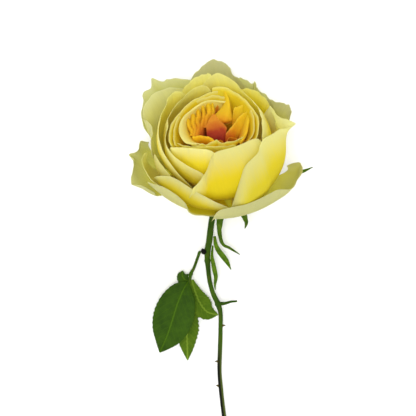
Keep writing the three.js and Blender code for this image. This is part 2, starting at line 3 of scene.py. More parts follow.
import bpy
import numpy as np
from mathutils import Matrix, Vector


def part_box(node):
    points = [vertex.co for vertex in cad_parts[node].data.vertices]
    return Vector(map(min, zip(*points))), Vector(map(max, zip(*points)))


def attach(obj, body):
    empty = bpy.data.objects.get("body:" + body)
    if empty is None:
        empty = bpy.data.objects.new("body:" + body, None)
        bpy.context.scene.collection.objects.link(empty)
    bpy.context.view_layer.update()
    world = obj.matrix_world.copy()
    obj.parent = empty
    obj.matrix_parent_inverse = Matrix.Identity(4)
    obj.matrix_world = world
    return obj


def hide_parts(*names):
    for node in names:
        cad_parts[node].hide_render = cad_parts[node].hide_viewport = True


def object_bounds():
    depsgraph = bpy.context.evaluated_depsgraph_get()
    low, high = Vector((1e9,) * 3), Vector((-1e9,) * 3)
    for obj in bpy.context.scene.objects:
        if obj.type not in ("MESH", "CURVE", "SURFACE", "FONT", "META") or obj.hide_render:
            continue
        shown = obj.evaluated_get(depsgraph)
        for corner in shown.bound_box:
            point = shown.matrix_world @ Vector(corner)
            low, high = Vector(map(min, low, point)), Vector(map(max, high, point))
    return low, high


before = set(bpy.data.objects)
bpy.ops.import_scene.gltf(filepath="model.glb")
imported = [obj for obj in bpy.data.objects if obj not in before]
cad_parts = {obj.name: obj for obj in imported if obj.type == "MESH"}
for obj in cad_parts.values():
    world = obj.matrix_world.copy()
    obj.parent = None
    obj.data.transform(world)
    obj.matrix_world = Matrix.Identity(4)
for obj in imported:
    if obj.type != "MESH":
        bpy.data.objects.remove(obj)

# ---- The camera
# It hangs 0.7 m above the table with a long lens and looks straight down at the flower as it lies.
# The flower's foot is found from the hip, the round green cup under the petals.
TILT = math.radians(45)  # the bloom's axis leans this far from straight up toward +Y
HIP_TO_FOOT = 0.006  # m up the axis from the hip's middle to the foot of the bloom
LENS, SENSOR = 102.76, 36  # mm, the focal length and the sensor's width
CAMERA_HEIGHT = 0.7  # m above the table
CAMERA_LEFT, CAMERA_BELOW = 0.0052, 0.0184  # m from the bloom's foot

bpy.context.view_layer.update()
bloom_axis = Vector((0, math.sin(TILT), math.cos(TILT)))
hip_low, hip_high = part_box("hip")
bloom_foot = (hip_low + hip_high) / 2 + bloom_axis * HIP_TO_FOOT

camera_data = bpy.data.cameras.new("table camera")
camera_data.lens = LENS
camera_data.sensor_width = SENSOR
camera = bpy.data.objects.new("table camera", camera_data)
bpy.context.scene.collection.objects.link(camera)
camera.location = (bloom_foot.x - CAMERA_LEFT, bloom_foot.y - CAMERA_BELOW, CAMERA_HEIGHT)
bpy.context.scene.camera = camera
bpy.context.scene.view_settings.view_transform = "Standard"

# ---- Guard petals
# The seven oldest, outermost petals: thin, soft living tissue, cream with a green tinge on their backs.
# Each grows from the foot of the flower up the outside of the cup and turns out at a waved lip.
PETAL_ROOT = 4.5  # mm from the axis to a petal's foot
LAYER_STEP = 0.9  # mm between the feet of one layer and the next
CLAW = 0.7  # width of a petal's foot as a share of its lip
LIP_WALL = 0.5  # thickness of a sheet's lip as a share of its wall
TURN = 6.283  # a full turn
HEART_RISE = 0.025  # m up the axis from the bloom's foot to the point that its colours spread from
COLOUR_REACH = 0.05  # m from that point to the end of the colours
EASED = {"interpolation_type": "SMOOTHSTEP"}  # a map range that eases in and out
TINTS = {"data_type": "RGBA"}  # a mix of colours


def colour(code):
    """An sRGB hex value as the linear colour a node takes."""
    parts = [int(code[i : i + 2], 16) / 255 for i in (1, 3, 5)]
    return [*(c / 12.92 if c <= 0.04045 else ((c + 0.055) / 1.055) ** 2.4 for c in parts), 1]


def feed(made, inputs=None, **values):
    """Sets a node's inputs: each takes the node or the output that feeds it, or a plain value."""
    named = {name.replace("_", " "): value for name, value in values.items()}
    for name, source in (named | (inputs or {})).items():
        if isinstance(source, bpy.types.Node):
            source = source.outputs[0]
        if isinstance(source, bpy.types.NodeSocket):
            made.id_data.links.new(source, made.inputs[name])
        else:
            made.inputs[name].default_value = source
    return made


def node(tree, kind, settings=None, inputs=None, **values):
    """Adds a shader node, with its settings and its inputs."""
    made = tree.nodes.new("ShaderNode" + kind)
    for name, value in (settings or {}).items():
        setattr(made, name, value)
    return feed(made, inputs, **values)


def through(points, share):
    """Points on the smooth line through the given ones; share runs from 0 to 1 along it."""
    p = np.array(points, float)
    p = np.vstack([2 * p[0] - p[1], p, 2 * p[-1] - p[-2]])
    t = np.clip(share, 0, 1) * (len(points) - 1)
    i = np.minimum(t.astype(int), len(points) - 2)
    s = (t - i)[:, None]
    a, b, c, d = p[i], p[i + 1], p[i + 2], p[i + 3]
    return 0.5 * (2 * b + (c - a) * s + (2 * a - 5 * b + 4 * c - d) * s**2 + (3 * b - a - 3 * c + d) * s**3)


def in_bloom(points):
    """Millimetres in the bloom's own frame, axis along +Z, to metres in the shared frame."""
    x, q, h = points.T
    y = q * math.cos(TILT) + h * math.sin(TILT)
    z = -q * math.sin(TILT) + h * math.cos(TILT)
    return np.stack([x, y, z], 1) / 1000 + np.array(bloom_foot)


def smooth(value):
    """From 0 to 1 with an easy start and end."""
    value = np.clip(value, 0, 1)
    return value * value * (3 - 2 * value)


def deselect():
    """Leaves nothing selected, so that the next operator works on the new piece alone."""
    for each in bpy.context.selected_objects:
        each.select_set(False)


def shaped_grid(name, across, along, place, materials):
    """A grid primitive with its points put at place(u, v), where u and v run from 0 to 1."""
    deselect()
    bpy.ops.mesh.primitive_grid_add(x_subdivisions=across, y_subdivisions=along, size=1)
    made = bpy.context.object
    made.name = made.data.name = name
    flat = np.zeros(len(made.data.vertices) * 3)
    made.data.vertices.foreach_get("co", flat)
    u, v = flat.reshape(-1, 3)[:, 0] + 0.5, flat.reshape(-1, 3)[:, 1] + 0.5
    shaped = place(u, v)
    made.data.vertices.foreach_set("co", shaped.ravel())
    for each in materials:
        made.data.materials.append(each)
    made.data.update()
    return made, u, v, shaped


def rounded(made, levels):
    """Rounds a piece off by that many levels, and shades it smooth."""
    if levels:
        rounding = made.modifiers.new("round", "SUBSURF")
        rounding.levels = rounding.render_levels = levels
        bpy.ops.object.modifier_apply(modifier="round")
    bpy.ops.object.shade_smooth()
    return made


def soft_sheet(name, across, along, place, thickness, materials):
    """A shaped grid given a wall, in mm, that thins to its lip, and rounded.
    Its UV map holds millimetres: x across from the middle, y down from the lip, both over 100."""
    sheet, u, v, shaped = shaped_grid(name, across, along, place, materials)
    mesh = sheet.data
    rows = np.lexsort((u, np.round(v, 5))).reshape(along + 1, across + 1)
    grid = shaped[rows] * 1000
    up = np.vstack([np.zeros((1, across + 1)), np.linalg.norm(np.diff(grid, axis=0), axis=2).cumsum(0)])
    over = np.hstack([np.zeros((along + 1, 1)), np.linalg.norm(np.diff(grid, axis=1), axis=2).cumsum(1)])
    lengths = np.zeros((len(u), 2))
    lengths[rows, 1] = (up[-1] - up) / 100
    lengths[rows, 0] = (over - over[:, -1:] / 2) / 100
    corner = np.zeros(len(mesh.loops), int)
    mesh.loops.foreach_get("vertex_index", corner)
    mesh.uv_layers[0].data.foreach_set("uv", lengths[corner].ravel())
    wall = sheet.vertex_groups.new(name="wall")
    for index, share in enumerate(1 - smooth((v - 0.75) / 0.25)):
        wall.add([index], float(share), "REPLACE")
    solid = sheet.modifiers.new("wall", "SOLIDIFY")
    solid.thickness = thickness / 1000
    solid.offset = 0
    solid.vertex_group = "wall"
    solid.thickness_vertex_group = LIP_WALL
    solid.material_offset = len(materials) - 1
    bpy.ops.object.modifier_apply(modifier="wall")
    return rounded(sheet, 1)


def cup_curve(name, u, v, layer, belly, rim, height, lip, curl=3.6, ruffle=0.5, waves=7):
    """Where a petal of the cup runs: up a bowl's side from the foot and out to its own waved lip."""
    foot = layer * LAYER_STEP
    heights = foot + (height - foot) * np.array([0, 0.05, 0.62, 1])
    low_belly, high_belly = belly if isinstance(belly, tuple) else (belly, belly)
    lip_angle, lip_height, lip_radius = through(lip, u).T

    def bowed(a, b, c, d, t):
        s = 1 - t
        return s**3 * a + 3 * s * s * t * b + 3 * s * t * t * c + t**3 * d

    # how far up the bowl each part of the lip lies, found by halving
    low, high = np.zeros_like(u), np.full_like(u, 1.3)
    for _ in range(30):
        half = (low + high) / 2
        under = bowed(*heights, half) < lip_height
        low, high = np.where(under, half, low), np.where(under, high, half)
    bulge = low_belly + (high_belly - low_belly) * u
    t = v * low
    radius = bowed(PETAL_ROOT, bulge, bulge, rim, t)
    radius += (lip_radius - bowed(PETAL_ROOT, bulge, bulge, rim, low)) * v**curl
    share = CLAW + (1 - CLAW) * v * (2 - v)
    middle = (lip[0][0] + lip[-1][0]) / 2
    angle = np.radians(middle + (lip_angle - middle) * share)
    shift = np.random.RandomState(sum(map(ord, name))).uniform(0, TURN, 4)
    wave = np.sin(waves * TURN * u + shift[0]) + 0.6 * np.sin(waves * 1.7 * TURN * u + shift[1])
    dimple = np.sin(9 * u + shift[2]) * np.sin(7 * v + shift[3])
    radius += 0.45 * ruffle * wave * v**9 + 0.35 * dimple * smooth(v * 2) * smooth((1 - v) * 3)
    h = bowed(*heights, t) + 0.5 * ruffle * wave * v**8
    return np.stack([radius * np.cos(angle), radius * np.sin(angle), h], 1)


def petal_tissue(name, heart, gold, lemon, edge, edge_width, veil=0.5, ridges=0.4):
    """Petal tissue: soft, matt and faintly velvety, with fine veins that run up to the lip and a
    paler margin, edge_width mm wide. Its colour deepens toward the heart of the flower, by stops of
    (share of the reach, colour): partly the tissue's own colour, and partly painted shade that darkens
    the deep heart of the flower. Light glows through it, by the share veil."""
    material = bpy.data.materials.new(name)
    material.use_nodes = True
    tree = material.node_tree
    tree.nodes.clear()
    place = node(tree, "TexCoord")
    apart = node(tree, "VectorMath", {"operation": "DISTANCE"},
                 {0: place.outputs["Object"], 1: bloom_foot + bloom_axis * HEART_RISE})
    patches = node(tree, "TexNoise", None, {"Vector": place.outputs["Object"]},
                   Scale=90, Detail=3, Roughness=0.55)  # 11 mm clouds of deeper and paler tissue
    cloud = node(tree, "Math", {"operation": "MULTIPLY_ADD"}, {0: patches, 1: 0.008, 2: -0.004})
    reach = node(tree, "Math", {"operation": "ADD"}, {0: apart.outputs["Value"], 1: cloud})
    span = node(tree, "MapRange", None, {"Value": reach}, From_Min=0, From_Max=COLOUR_REACH)
    # colour by closeness to the heart: the tissue's own deepening colour, with painted shade of the deep heart in its
    # darkest stops
    depth = node(tree, "ValToRGB", None, {"Fac": span})
    stops = depth.color_ramp.elements
    stops[0].position, stops[0].color = heart[0], colour(heart[1])
    stops[1].position, stops[1].color = lemon[0], colour(lemon[1])
    for at, shade in gold:
        stops.new(at).color = colour(shade)
    # veins 1.2 mm apart, coarser than the real ones so that they show, stretched 14 times lengthwise
    strands = node(tree, "Mapping", None, {"Vector": place.outputs["UV"]}, Scale=(100, 7, 1))
    veins = node(tree, "TexNoise", None, {"Vector": strands}, Scale=0.85, Detail=3, Roughness=0.6)
    parts = node(tree, "SeparateXYZ", None, {"Vector": place.outputs["UV"]})
    margin = node(tree, "Math", {"operation": "MULTIPLY_ADD"},
                  {0: veins, 1: edge_width / 200, 2: parts.outputs["Y"]})
    lipward = node(tree, "MapRange", EASED, {"Value": margin},
                   From_Min=edge_width * 0.2 / 100, From_Max=edge_width * 2 / 100, To_Min=0.9, To_Max=0)
    edged = node(tree, "Mix", TINTS, {0: lipward, 6: depth, 7: colour(edge)})
    streak = node(tree, "MapRange", None, {"Value": veins},
                  From_Min=0.3, From_Max=0.7, To_Min=0.975, To_Max=1.015)
    tinted = node(tree, "VectorMath", {"operation": "SCALE"}, {0: edged.outputs[2], "Scale": streak})
    bump = node(tree, "Bump", None, {"Height": veins}, Strength=ridges, Distance=0.0004)
    skin = node(tree, "BsdfPrincipled", None, {"Base Color": tinted, "Normal": bump},
                Roughness=0.7, IOR=1.35, Sheen_Weight=0.04, Sheen_Roughness=0.4)
    glow = node(tree, "BsdfTranslucent", None, {"Color": tinted, "Normal": bump})
    mix = node(tree, "MixShader", None, {1: skin, 2: glow}, Fac=veil)
    node(tree, "OutputMaterial", None, {"Surface": mix})
    return material


def add_petals(petals, curve, steps, thickness, skins):
    """Makes each petal from its sizes. Its skins are its back's material and its face's."""
    for name, shape in petals.items():
        sizes = {key: value for key, value in shape.items() if key != "skins"}
        petal = soft_sheet(
            name + "_petal", *steps, lambda u, v: in_bloom(curve(name, u, v, **sizes)), thickness,
            shape.get("skins", skins))
        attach(petal, "root")
        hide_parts(name)


cream_back = petal_tissue(
    "guard petal back, green-tinged cream tissue",
    (0.1, "#e8e468"), [(0.6, "#e0de74")], (0.95, "#d0cf84"), "#d2d198", 8)
cream_face = petal_tissue(
    "guard petal face, pale lemon-cream tissue",
    (0.1, "#f8f23c"), [(0.5, "#f8f480")], (0.8, "#f7f6b8"), "#eeeec2", 8, veil=0.6)
grey_face = petal_tissue(
    "shaded guard petal, grey-cream tissue",
    (0.1, "#ece440"), [(0.6, "#e2de5c"), (0.85, "#d2d07c")], (1.0, "#c6c48e"), "#cac898", 6)
# painted shade: the faces of the left, front right, top right and top left guard petals are coloured olive for the
# shade they lie in; their own colour is yellow-green
shaded_olive_face = petal_tissue(
    "oldest guard petal, olive-yellow tissue",
    (0.1, "#eee424"), [(0.55, "#ebe544"), (0.8, "#e4e06e")], (0.97, "#d9d88a"), "#dfdfa6", 5)
# painted shade: the low front guard petal's face is coloured a deep mustard for the shade that lies on it
shaded_mustard_face = petal_tissue(
    "low front petal, mustard-yellow tissue",
    (0.1, "#eedc10"), [(0.6, "#ecdc18"), (0.9, "#e4d62c")], (1.0, "#dcd458"), "#e2e2a8", 5)
guard_petals = {
    "guard_left": dict(
        skins=[cream_back, shaded_olive_face], layer=0, belly=47, rim=50, height=17,
        lip=[(158, 12, 42), (164, 15, 46), (171, 14, 45), (177, 14, 50), (183, 15, 47), (195, 15, 49), (203, 13, 52),
             (209, 15, 48), (215, 10, 42)]),
    "guard_front_right": dict(
        skins=[cream_back, shaded_olive_face], layer=0, belly=49, rim=47, height=24, curl=5,
        lip=[(266, 12, 49), (270, 18, 46.5), (279, 20, 46), (289, 20, 45.7), (302, 21, 45.7), (314, 22, 47),
             (322, 20, 51), (329, 22, 51), (338, 22, 50.5), (345, 21, 48), (351, 17, 44), (355, 11, 39)]),
    "guard_top_right": dict(
        skins=[cream_back, shaded_olive_face], layer=0, belly=45, rim=47, height=35,
        lip=[(42, 28, 44.5), (50, 30, 45.5), (58, 32, 45.5), (61, 33, 47), (63, 34, 49), (65, 34, 46.4),
             (73, 36, 46.9), (78, 31, 45.5)]),
    "guard_front_left": dict(
        skins=[cream_back, shaded_mustard_face], layer=1, belly=(44, 46), rim=45, height=25,
        waves=15, ruffle=0.8,
        lip=[(208, 14, 43.5), (213, 19, 45.5), (222, 23, 46), (230, 25, 45.5), (240, 24, 45.5), (248, 20, 46),
             (251, 17.5, 48.8), (255, 15.4, 48.5), (260, 15.6, 48), (265, 14.2, 46.8), (269, 13.8, 46),
             (274, 12, 44.5)]),
    "guard_top": dict(
        skins=[cream_back, grey_face], layer=1, belly=42.5, rim=51, height=43,
        lip=[(62, 28, 41), (68, 34, 43), (74, 37, 44.5), (79, 38, 46.7), (82, 40, 50.7), (86, 41, 52.7), (91, 42, 54),
             (96, 42, 52.4), (101, 39, 50.4), (106, 37, 48.6), (113, 28, 45)]),
    "guard_right": dict(
        skins=[cream_back, grey_face], layer=1, belly=(43, 42), rim=46, height=32,
        lip=[(18, 22, 38.5), (22, 28, 44), (28, 30, 47.8), (33, 31, 48.5), (38, 31, 46), (46, 31, 43), (53, 31, 41.8),
             (60, 26, 40.4)]),
    "guard_top_left": dict(
        skins=[cream_back, shaded_olive_face], layer=2, belly=41, rim=50, height=40,
        lip=[(102, 30, 41), (108, 36, 44.5), (116, 37, 47), (124, 38, 50), (128, 37, 50.5), (132, 38, 56),
             (137, 36, 52), (144, 35, 53), (147, 33, 50), (154, 31, 48), (162, 25, 44)]),
}
add_petals(guard_petals, cup_curve, (48, 28), 0.4, [cream_back, cream_face])

# ---- Cup petals
# Twelve broad petals that make the bowl of the flower, lemon inside with a pale turned lip, and
# cream on their backs. They overlap like roof slates and grow from the core above the guard petals.
cup_back = petal_tissue(
    "cup petal back, cream tissue",
    (0.1, "#f8e410"), [(0.55, "#f7e822"), (0.7, "#f5e634"), (0.84, "#efe450")], (0.98, "#e8e27a"), "#eeebaa", 6)
cup_face = petal_tissue(
    "cup petal face, lemon tissue",
    (0.1, "#f8d010"), [(0.45, "#f9e418"), (0.7, "#f8ec2c")], (0.95, "#f5ee58"), "#f2ee9c", 6)
lemon_face = petal_tissue(
    "cup petal face, pale lemon tissue",
    (0.1, "#fbee40"), [(0.45, "#faf364"), (0.66, "#f8f388")], (0.9, "#f4f1a0"), "#f1efb0", 6, veil=0.6)
gold_back = petal_tissue(
    "cup petal back, cream at the lip and golden lemon below",
    (0.1, "#f0d00a"), [(0.6, "#eed614"), (0.8, "#e8d81c")], (1.0, "#ddd234"), "#e6e4a0", 10)
gold_low = petal_tissue(
    "low cup petal back, golden with a narrow cream lip",
    (0.1, "#f2d40c"), [(0.6, "#f2dc18"), (0.8, "#f0e02c")], (1.0, "#e8dc44"), "#e0dfa6", 4)
cup_petals = {
    "low_left": dict(
        skins=[gold_back, lemon_face], layer=2, belly=43, rim=43, height=27,
        lip=[(186, 18, 40), (190, 25, 39.5), (194, 26, 42), (199, 25, 44), (206, 24, 44.5), (216, 22, 44.5),
             (226, 21, 43.5), (234, 14, 42)]),
    "outer_front_left": dict(
        skins=[gold_low, cup_face], layer=3, belly=(42, 48), rim=39, height=29, curl=6,
        lip=[(213, 20, 41.5), (219, 25, 42), (227, 27, 39), (235, 27, 38), (242, 26.3, 38.3), (250, 25, 39.2),
             (260, 23, 40.6), (268, 20.8, 42), (276, 18.4, 43.4), (283, 14, 43)]),
    "cup_right": dict(
        layer=4, belly=(35, 39), rim=40, height=39,
        lip=[(2, 28, 33.5), (8, 34, 33), (18, 36, 33), (27, 36.5, 34), (36, 36.5, 36), (46, 37.5, 37), (54, 38.5, 37),
             (61, 39.5, 35), (68, 38, 33.5), (72, 33, 34)]),
    "cup_front_right": dict(
        skins=[gold_back, cream_face], layer=3, belly=(56, 30.5), rim=31, height=48, curl=10,
        lip=[(280, 16, 42), (289, 34, 38), (295, 40, 36), (307, 44, 35.5), (311, 47, 34), (319, 48, 32.5),
             (333, 46, 33.5), (343, 44.5, 34.8), (350, 42, 37.6), (357, 39.5, 41), (363, 38, 43.6),
             (367, 38, 40), (371, 38, 36.4), (377, 38, 34.4), (384, 38, 34.2), (391, 37.6, 35.2), (396, 33, 36)]),
    "cup_left": dict(
        skins=[cream_back, cream_face], layer=4, belly=38.6, rim=42, height=42,
        lip=[(112, 34, 38), (122, 38, 39), (131, 40, 41), (142, 41, 43), (150, 41, 43.6), (160, 39, 44),
             (170, 37, 42), (174, 38, 38.8), (181, 38, 36), (187, 36, 36), (190, 33, 37.2), (196, 26, 38)]),
    "cup_back_left": dict(
        skins=[cup_back, lemon_face], layer=5, belly=37.5, rim=36, height=46,
        lip=[(92, 38, 37), (96, 45, 37), (100, 45, 37.5), (110, 44, 37), (125, 40, 34.5), (140, 30, 35.5)]),
    "low_left_inner": dict(
        skins=[gold_back, lemon_face], layer=5, belly=38.5, rim=36.5, height=31,
        lip=[(197, 24, 36.5), (201, 29, 36.8), (210, 29, 37), (225, 26, 37), (235, 20, 37.5)]),
    "cup_front": dict(
        skins=[gold_back, cup_face], layer=5, belly=(50, 44), rim=29, height=49, curl=4, ruffle=0.5,
        lip=[(247, 17, 41), (249, 22, 41.5), (251, 27, 40.5), (254, 29.5, 38), (257, 32, 35), (260, 35, 31),
             (262, 39, 28.3),
             (266, 43, 27.8), (274, 45.5, 28), (288, 47.5, 28.8), (305, 48.5, 29), (315, 47.5, 30), (325, 40, 32)]),
    "left_2": dict(
        skins=[cup_back, lemon_face], layer=6, belly=36, rim=32, height=43,
        lip=[(122, 38, 32), (130, 42, 32.6), (138, 43, 34), (146, 42.5, 33.2), (155, 42, 31.6), (166, 42, 31.2),
             (183, 42, 31.8), (195, 40.5, 33.2), (206, 38, 34.6), (217, 34, 34.8), (226, 30.5, 34.8), (235, 27, 34.9),
             (243, 24, 35.2), (251, 20, 35.8)]),
    "cup_back_right": dict(
        skins=[cup_back, lemon_face], layer=6, belly=35, rim=32, height=47,
        lip=[(-32, 36, 28.5), (-24, 41, 26.4), (-14, 42.4, 25), (-4, 42.8, 24.2), (8, 43, 23.9), (20, 43.4, 23.9),
             (33, 43.8, 24.2), (48, 44, 25), (62, 45, 27.4),
             (73, 46.3, 30.8), (86, 47, 34.5), (95, 46, 35), (105, 40, 33.5)]),
    "left_3": dict(
        skins=[cup_back, lemon_face], layer=7, belly=33, rim=29, height=43,
        lip=[(97, 40, 27.4), (101, 43.5, 28), (107, 44.2, 28.6), (113, 44.2, 29.2), (120, 43.4, 28.8), (128, 42.4, 28),
             (140, 42, 27), (152, 42, 26.4), (163, 42, 26.4), (177, 42, 27), (190, 41.5, 27.4), (203, 40.5, 30.8),
             (213, 39, 32.6), (222, 37, 33), (232, 35, 32.2), (243, 33, 31.8), (256, 31, 32), (263, 25, 33)]),
    "front_left": dict(
        layer=8, belly=31.5, rim=27.5, height=44,
        lip=[(211, 31, 30.8), (215, 38, 31.4), (220, 40.2, 31.2), (227, 41.4, 29.2), (235, 42.4, 27.8), (250, 44, 27),
             (262, 44, 27), (272, 40, 27.5)]),
}
for shape in cup_petals.values():
    shape.setdefault("ruffle", 0.35)  # flatter lips than the guard petals have
add_petals(cup_petals, cup_curve, (48, 28), 0.4, [cup_back, cup_face])

# ---- Folded inner petals
# The crowded petals of a quartered rose: narrow, deep yellow, standing on edge in bands and pleats.
# Most are drawn in toward the core by one rule as they go down, so that they lie in each other. Those
# whose faces show most are draped over lines of their own. They grow from the core inside the cup.
FOLD_FOOT = 14  # mm up the axis where they begin
FOLD_SPREAD = 0.25  # how far apart they stand there, as a share of their spread 40 mm up


def spread(h):
    """How far the petals stand apart at a height, as a share of their spread 40 mm up the axis."""
    return FOLD_SPREAD + (1 - FOLD_SPREAD) * (np.maximum(h - FOLD_FOOT, 0) / (40 - FOLD_FOOT)) ** 0.9


def frilled(name, u, size, waves):
    """The height that a lip's frill adds along it, in its own waves."""
    shift = np.random.RandomState(sum(map(ord, name))).uniform(0, TURN, 3)
    return size * (np.sin(waves * TURN * u + shift[0]) + 0.5 * np.sin(waves * 2.3 * TURN * u + shift[1]))


def outward_of(line, u):
    """The way that points right of a line in plan, as one walks along it."""
    before, after = through(line, u - 0.01), through(line, u + 0.01)
    way = np.stack([after[:, 1] - before[:, 1], before[:, 0] - after[:, 0]], 1)
    return way / np.maximum(np.linalg.norm(way, axis=1), 1e-9)[:, None]


def fold_curve(name, u, v, lip, ruffle=0.2, waves=4, roll=0.4):
    """A petal that stands on edge: a lip line of [x, y, height], turned out by roll at its top."""
    x, y, top = through(lip, u).T
    way = outward_of(lip, u)
    lean = roll * smooth((v - 0.6) / 0.4) ** 2
    rise = top + frilled(name, u, ruffle, waves) - FOLD_FOOT
    h = FOLD_FOOT + rise * v - 0.25 * abs(roll) * smooth((v - 0.88) / 0.12)
    share = spread(h) / spread(top)
    return np.stack([x * share + way[:, 0] * lean, y * share + way[:, 1] * lean, h], 1)


def tuck_curve(name, u, v, crest, width=2.0, drop=9.0, ruffle=0.2, waves=3):
    """A petal folded double over a crest line: its two halves fall away on either side of it."""
    x, y, top = through(crest, u).T
    way = outward_of(crest, u)
    turn = math.pi * v
    side = -np.cos(turn) * width / 2
    h = top + frilled(name, u, ruffle, waves) - drop * (1 - np.sin(turn) ** 0.55)
    share = spread(h) / spread(top)
    return np.stack([x * share + way[:, 0] * side, y * share + way[:, 1] * side, h], 1)


def drape_curve(name, u, v, rows, ruffle=0.15, waves=4):
    """A petal that follows several lines, given from its foot to its lip."""
    lines = np.stack([through(row, u) for row in rows])
    lines = np.concatenate([2 * lines[:1] - lines[1:2], lines, 2 * lines[-1:] - lines[-2:-1]])
    t = np.clip(v, 0, 1) * (len(rows) - 1)
    i = np.minimum(t.astype(int), len(rows) - 2)
    s = (t - i)[:, None]
    each = np.arange(len(u))
    a, b, c, d = (lines[i + k, each] for k in range(4))
    place = 0.5 * (2 * b + (c - a) * s + (2 * a - 5 * b + 4 * c - d) * s**2 + (3 * b - a - 3 * c + d) * s**3)
    place[:, 2] += frilled(name, u, ruffle, waves) * v**4
    return place


band_back = petal_tissue(
    "inner petal back, golden tissue",
    (0.16, "#d07418"), [(0.28, "#f4c018"), (0.38, "#f6d612"), (0.5, "#f4de1c")], (0.7, "#f0e444"), "#f4f0ac", 1.7)
band_face = petal_tissue(
    "inner petal face, golden tissue",
    (0.16, "#d07418"), [(0.26, "#e4a812"), (0.36, "#e4c00e"), (0.5, "#e8d014")], (0.66, "#f0e23a"), "#f0ec90", 1.5)
pale_face = petal_tissue(
    "innermost band, pale cream tissue",
    (0.16, "#c8601a"), [(0.26, "#eca818"), (0.34, "#f4d018")], (0.5, "#f7e428"), "#f1eea0", 4.5)
frill = petal_tissue(
    "ragged front rim, pale lemon tissue",
    (0.3, "#f2c41c"), [(0.42, "#f6e040")], (0.5, "#f2ea78"), "#f1ecaa", 2.5)
pleat = petal_tissue(
    "pleated petal, orange-gold tissue",
    (0.14, "#b03c10"), [(0.21, "#d87814"), (0.27, "#ecb01a"), (0.34, "#f2cc20")], (0.5, "#f5de2a"), "#f5e04a", 1.4)
# heart petals: red-orange tissue; the deep red of their lowest stops is partly painted shade of the cavity
ember = petal_tissue(
    "heart petal, red-orange tissue with painted shade deep down",
    (0.13, "#961c06"), [(0.17, "#b03c0a"), (0.205, "#cc6c10")], (0.26, "#dc901a"), "#dc9420", 1.2, veil=0.3)

band_petals = {
    "rim_left_1": dict(
        roll=0.7, lip=[(5, 28, 40), (2, 27.6, 40), (-4, 26, 40), (-12, 20.8, 40), (-18, 13, 40), (-23, 4.5, 40),
                       (-25.5, -4, 40), (-26.2, -12, 40), (-24.6, -18.6, 40)]),
    "rim_left_2": dict(
        roll=0.8,
        lip=[(4, 23.6, 38.6), (1, 24.6, 39), (-3, 24.4, 39), (-9.5, 21.6, 39), (-15.5, 16.2, 39), (-20, 9, 39),
                       (-23, -1.5, 39), (-23.6, -10, 39), (-22.5, -17, 39)]),
    "rim_right_1": dict(
        roll=0.6,
        lip=[(15.5, -21, 42), (20, -14.5, 41), (22, -7, 41), (22.2, 2, 41), (20.2, 9.8, 41), (16.2, 16.6, 41.5),
                       (10.8, 23.4, 42), (4, 28.4, 42), (-3, 28.8, 41.5)]),
    "rim_right_2": dict(
        roll=0.8,
        lip=[(13.5, -16.5, 40), (17.5, -12, 40), (19.6, -5, 40), (19.6, 4, 40), (18, 12.4, 40), (15.2, 18.8, 40),
                       (10.5, 23.6, 40.5)]),
    "rim_front_1": dict(
        roll=0.3, ruffle=0.35, waves=6, skins=[frill, frill],
        lip=[(-22, -17.5, 41.5), (-18, -20.2, 42), (-12, -22.2, 43), (-5, -23.2, 44.2), (4, -23.4, 44.6),
             (10, -22, 44.4)]),
    "rim_front_2": dict(
        roll=0.4, ruffle=0.1, skins=[frill, frill],
        lip=[(-15, -17.4, 41), (-12, -18.8, 42), (-10.5, -19.2, 41.2), (-8.5, -19.4, 43), (-6.5, -19.6, 42.2),
             (-4, -19.4, 43.6),
             (-2, -19.2, 44.4), (-0.5, -19.1, 45.4), (0.8, -19, 43.8), (3, -19, 42.8), (5.5, -18.6, 43.6),
             (8.5, -17.9, 43.2),
             (11, -16.6, 43.4), (14, -13.8, 43)]),
}
add_petals(band_petals, fold_curve, (64, 20), 0.45, [band_back, band_face])

draped_petals = {
    "rim_left_3": dict(
        skins=[band_back, pale_face],
        rows=[[(1, 7, 16), (-3, 6.5, 16), (-5.5, 4, 16), (-6.5, 1, 16), (-5.5, -2, 16), (-4, -4, 16), (-1, -5.5, 16)],
              [(1.5, 15, 27), (-5, 14.5, 27), (-10.5, 9, 27), (-12, 2.5, 27), (-10.5, -3.5, 27), (-8, -7.5, 27),
               (-4, -10, 27)],
              [(3, 20.8, 35), (-6, 20.2, 35), (-12.6, 13.6, 35), (-17, 6, 35), (-16.4, -3.6, 35),
               (-12.4, -10.6, 35.4), (-6, -14.4, 36)],
              [(4.5, 20.3, 37.6), (-5, 21, 38), (-13, 14, 38), (-18.6, 6, 38), (-20, -4.5, 38), (-16.4, -13.6, 38.6),
               (-9, -17, 39.5)],
              [(4.8, 21.2, 37.8), (-5.2, 22, 38), (-13.8, 14.8, 38), (-19.6, 6.2, 38), (-21.2, -4.8, 38),
               (-17.4, -15, 38.8), (-9.4, -17.9, 40.4)]]),
}
add_petals(draped_petals, drape_curve, (72, 24), 0.45, [band_back, band_face])

# painted shade: one leg of each fold is coloured dark orange-brown for about 9 mm up from its edge
ribbon = petal_tissue(
    "ribbon fold, gold with one orange side",
    (0.14, "#b03c10"), [(0.22, "#d87416"), (0.29, "#eeac1a"), (0.37, "#f4cc1c")], (0.52, "#f6de2a"), "#b84c0c", 4.5)
pleated_petals = {
    "fold_left_1": dict(
        width=3.0, drop=7, ruffle=0.2,
        crest=[(-18, 11, 36.9), (-16.6, 7.5, 36), (-16.2, 3, 35.8), (-14.6, -0.5, 35.4), (-14.6, -4.4, 34.4)]),
    "fold_left_2": dict(
        width=3.2, drop=7, ruffle=0.2,
        crest=[(-15.6, 15.4, 37), (-13.8, 11, 36.1), (-14, 6, 35.8), (-12.8, 1.2, 35.2), (-13.2, -4.2, 33.8)]),
    "fold_left_3": dict(
        width=3.0, drop=7, ruffle=0.2,
        crest=[(-12, 18.8, 36.8), (-10.8, 13.4, 35.9), (-11.6, 8, 35.6), (-10.6, 2.5, 34.8), (-12, -4.4, 33.2)]),
}
add_petals(pleated_petals, tuck_curve, (48, 28), 0.4, [ribbon])
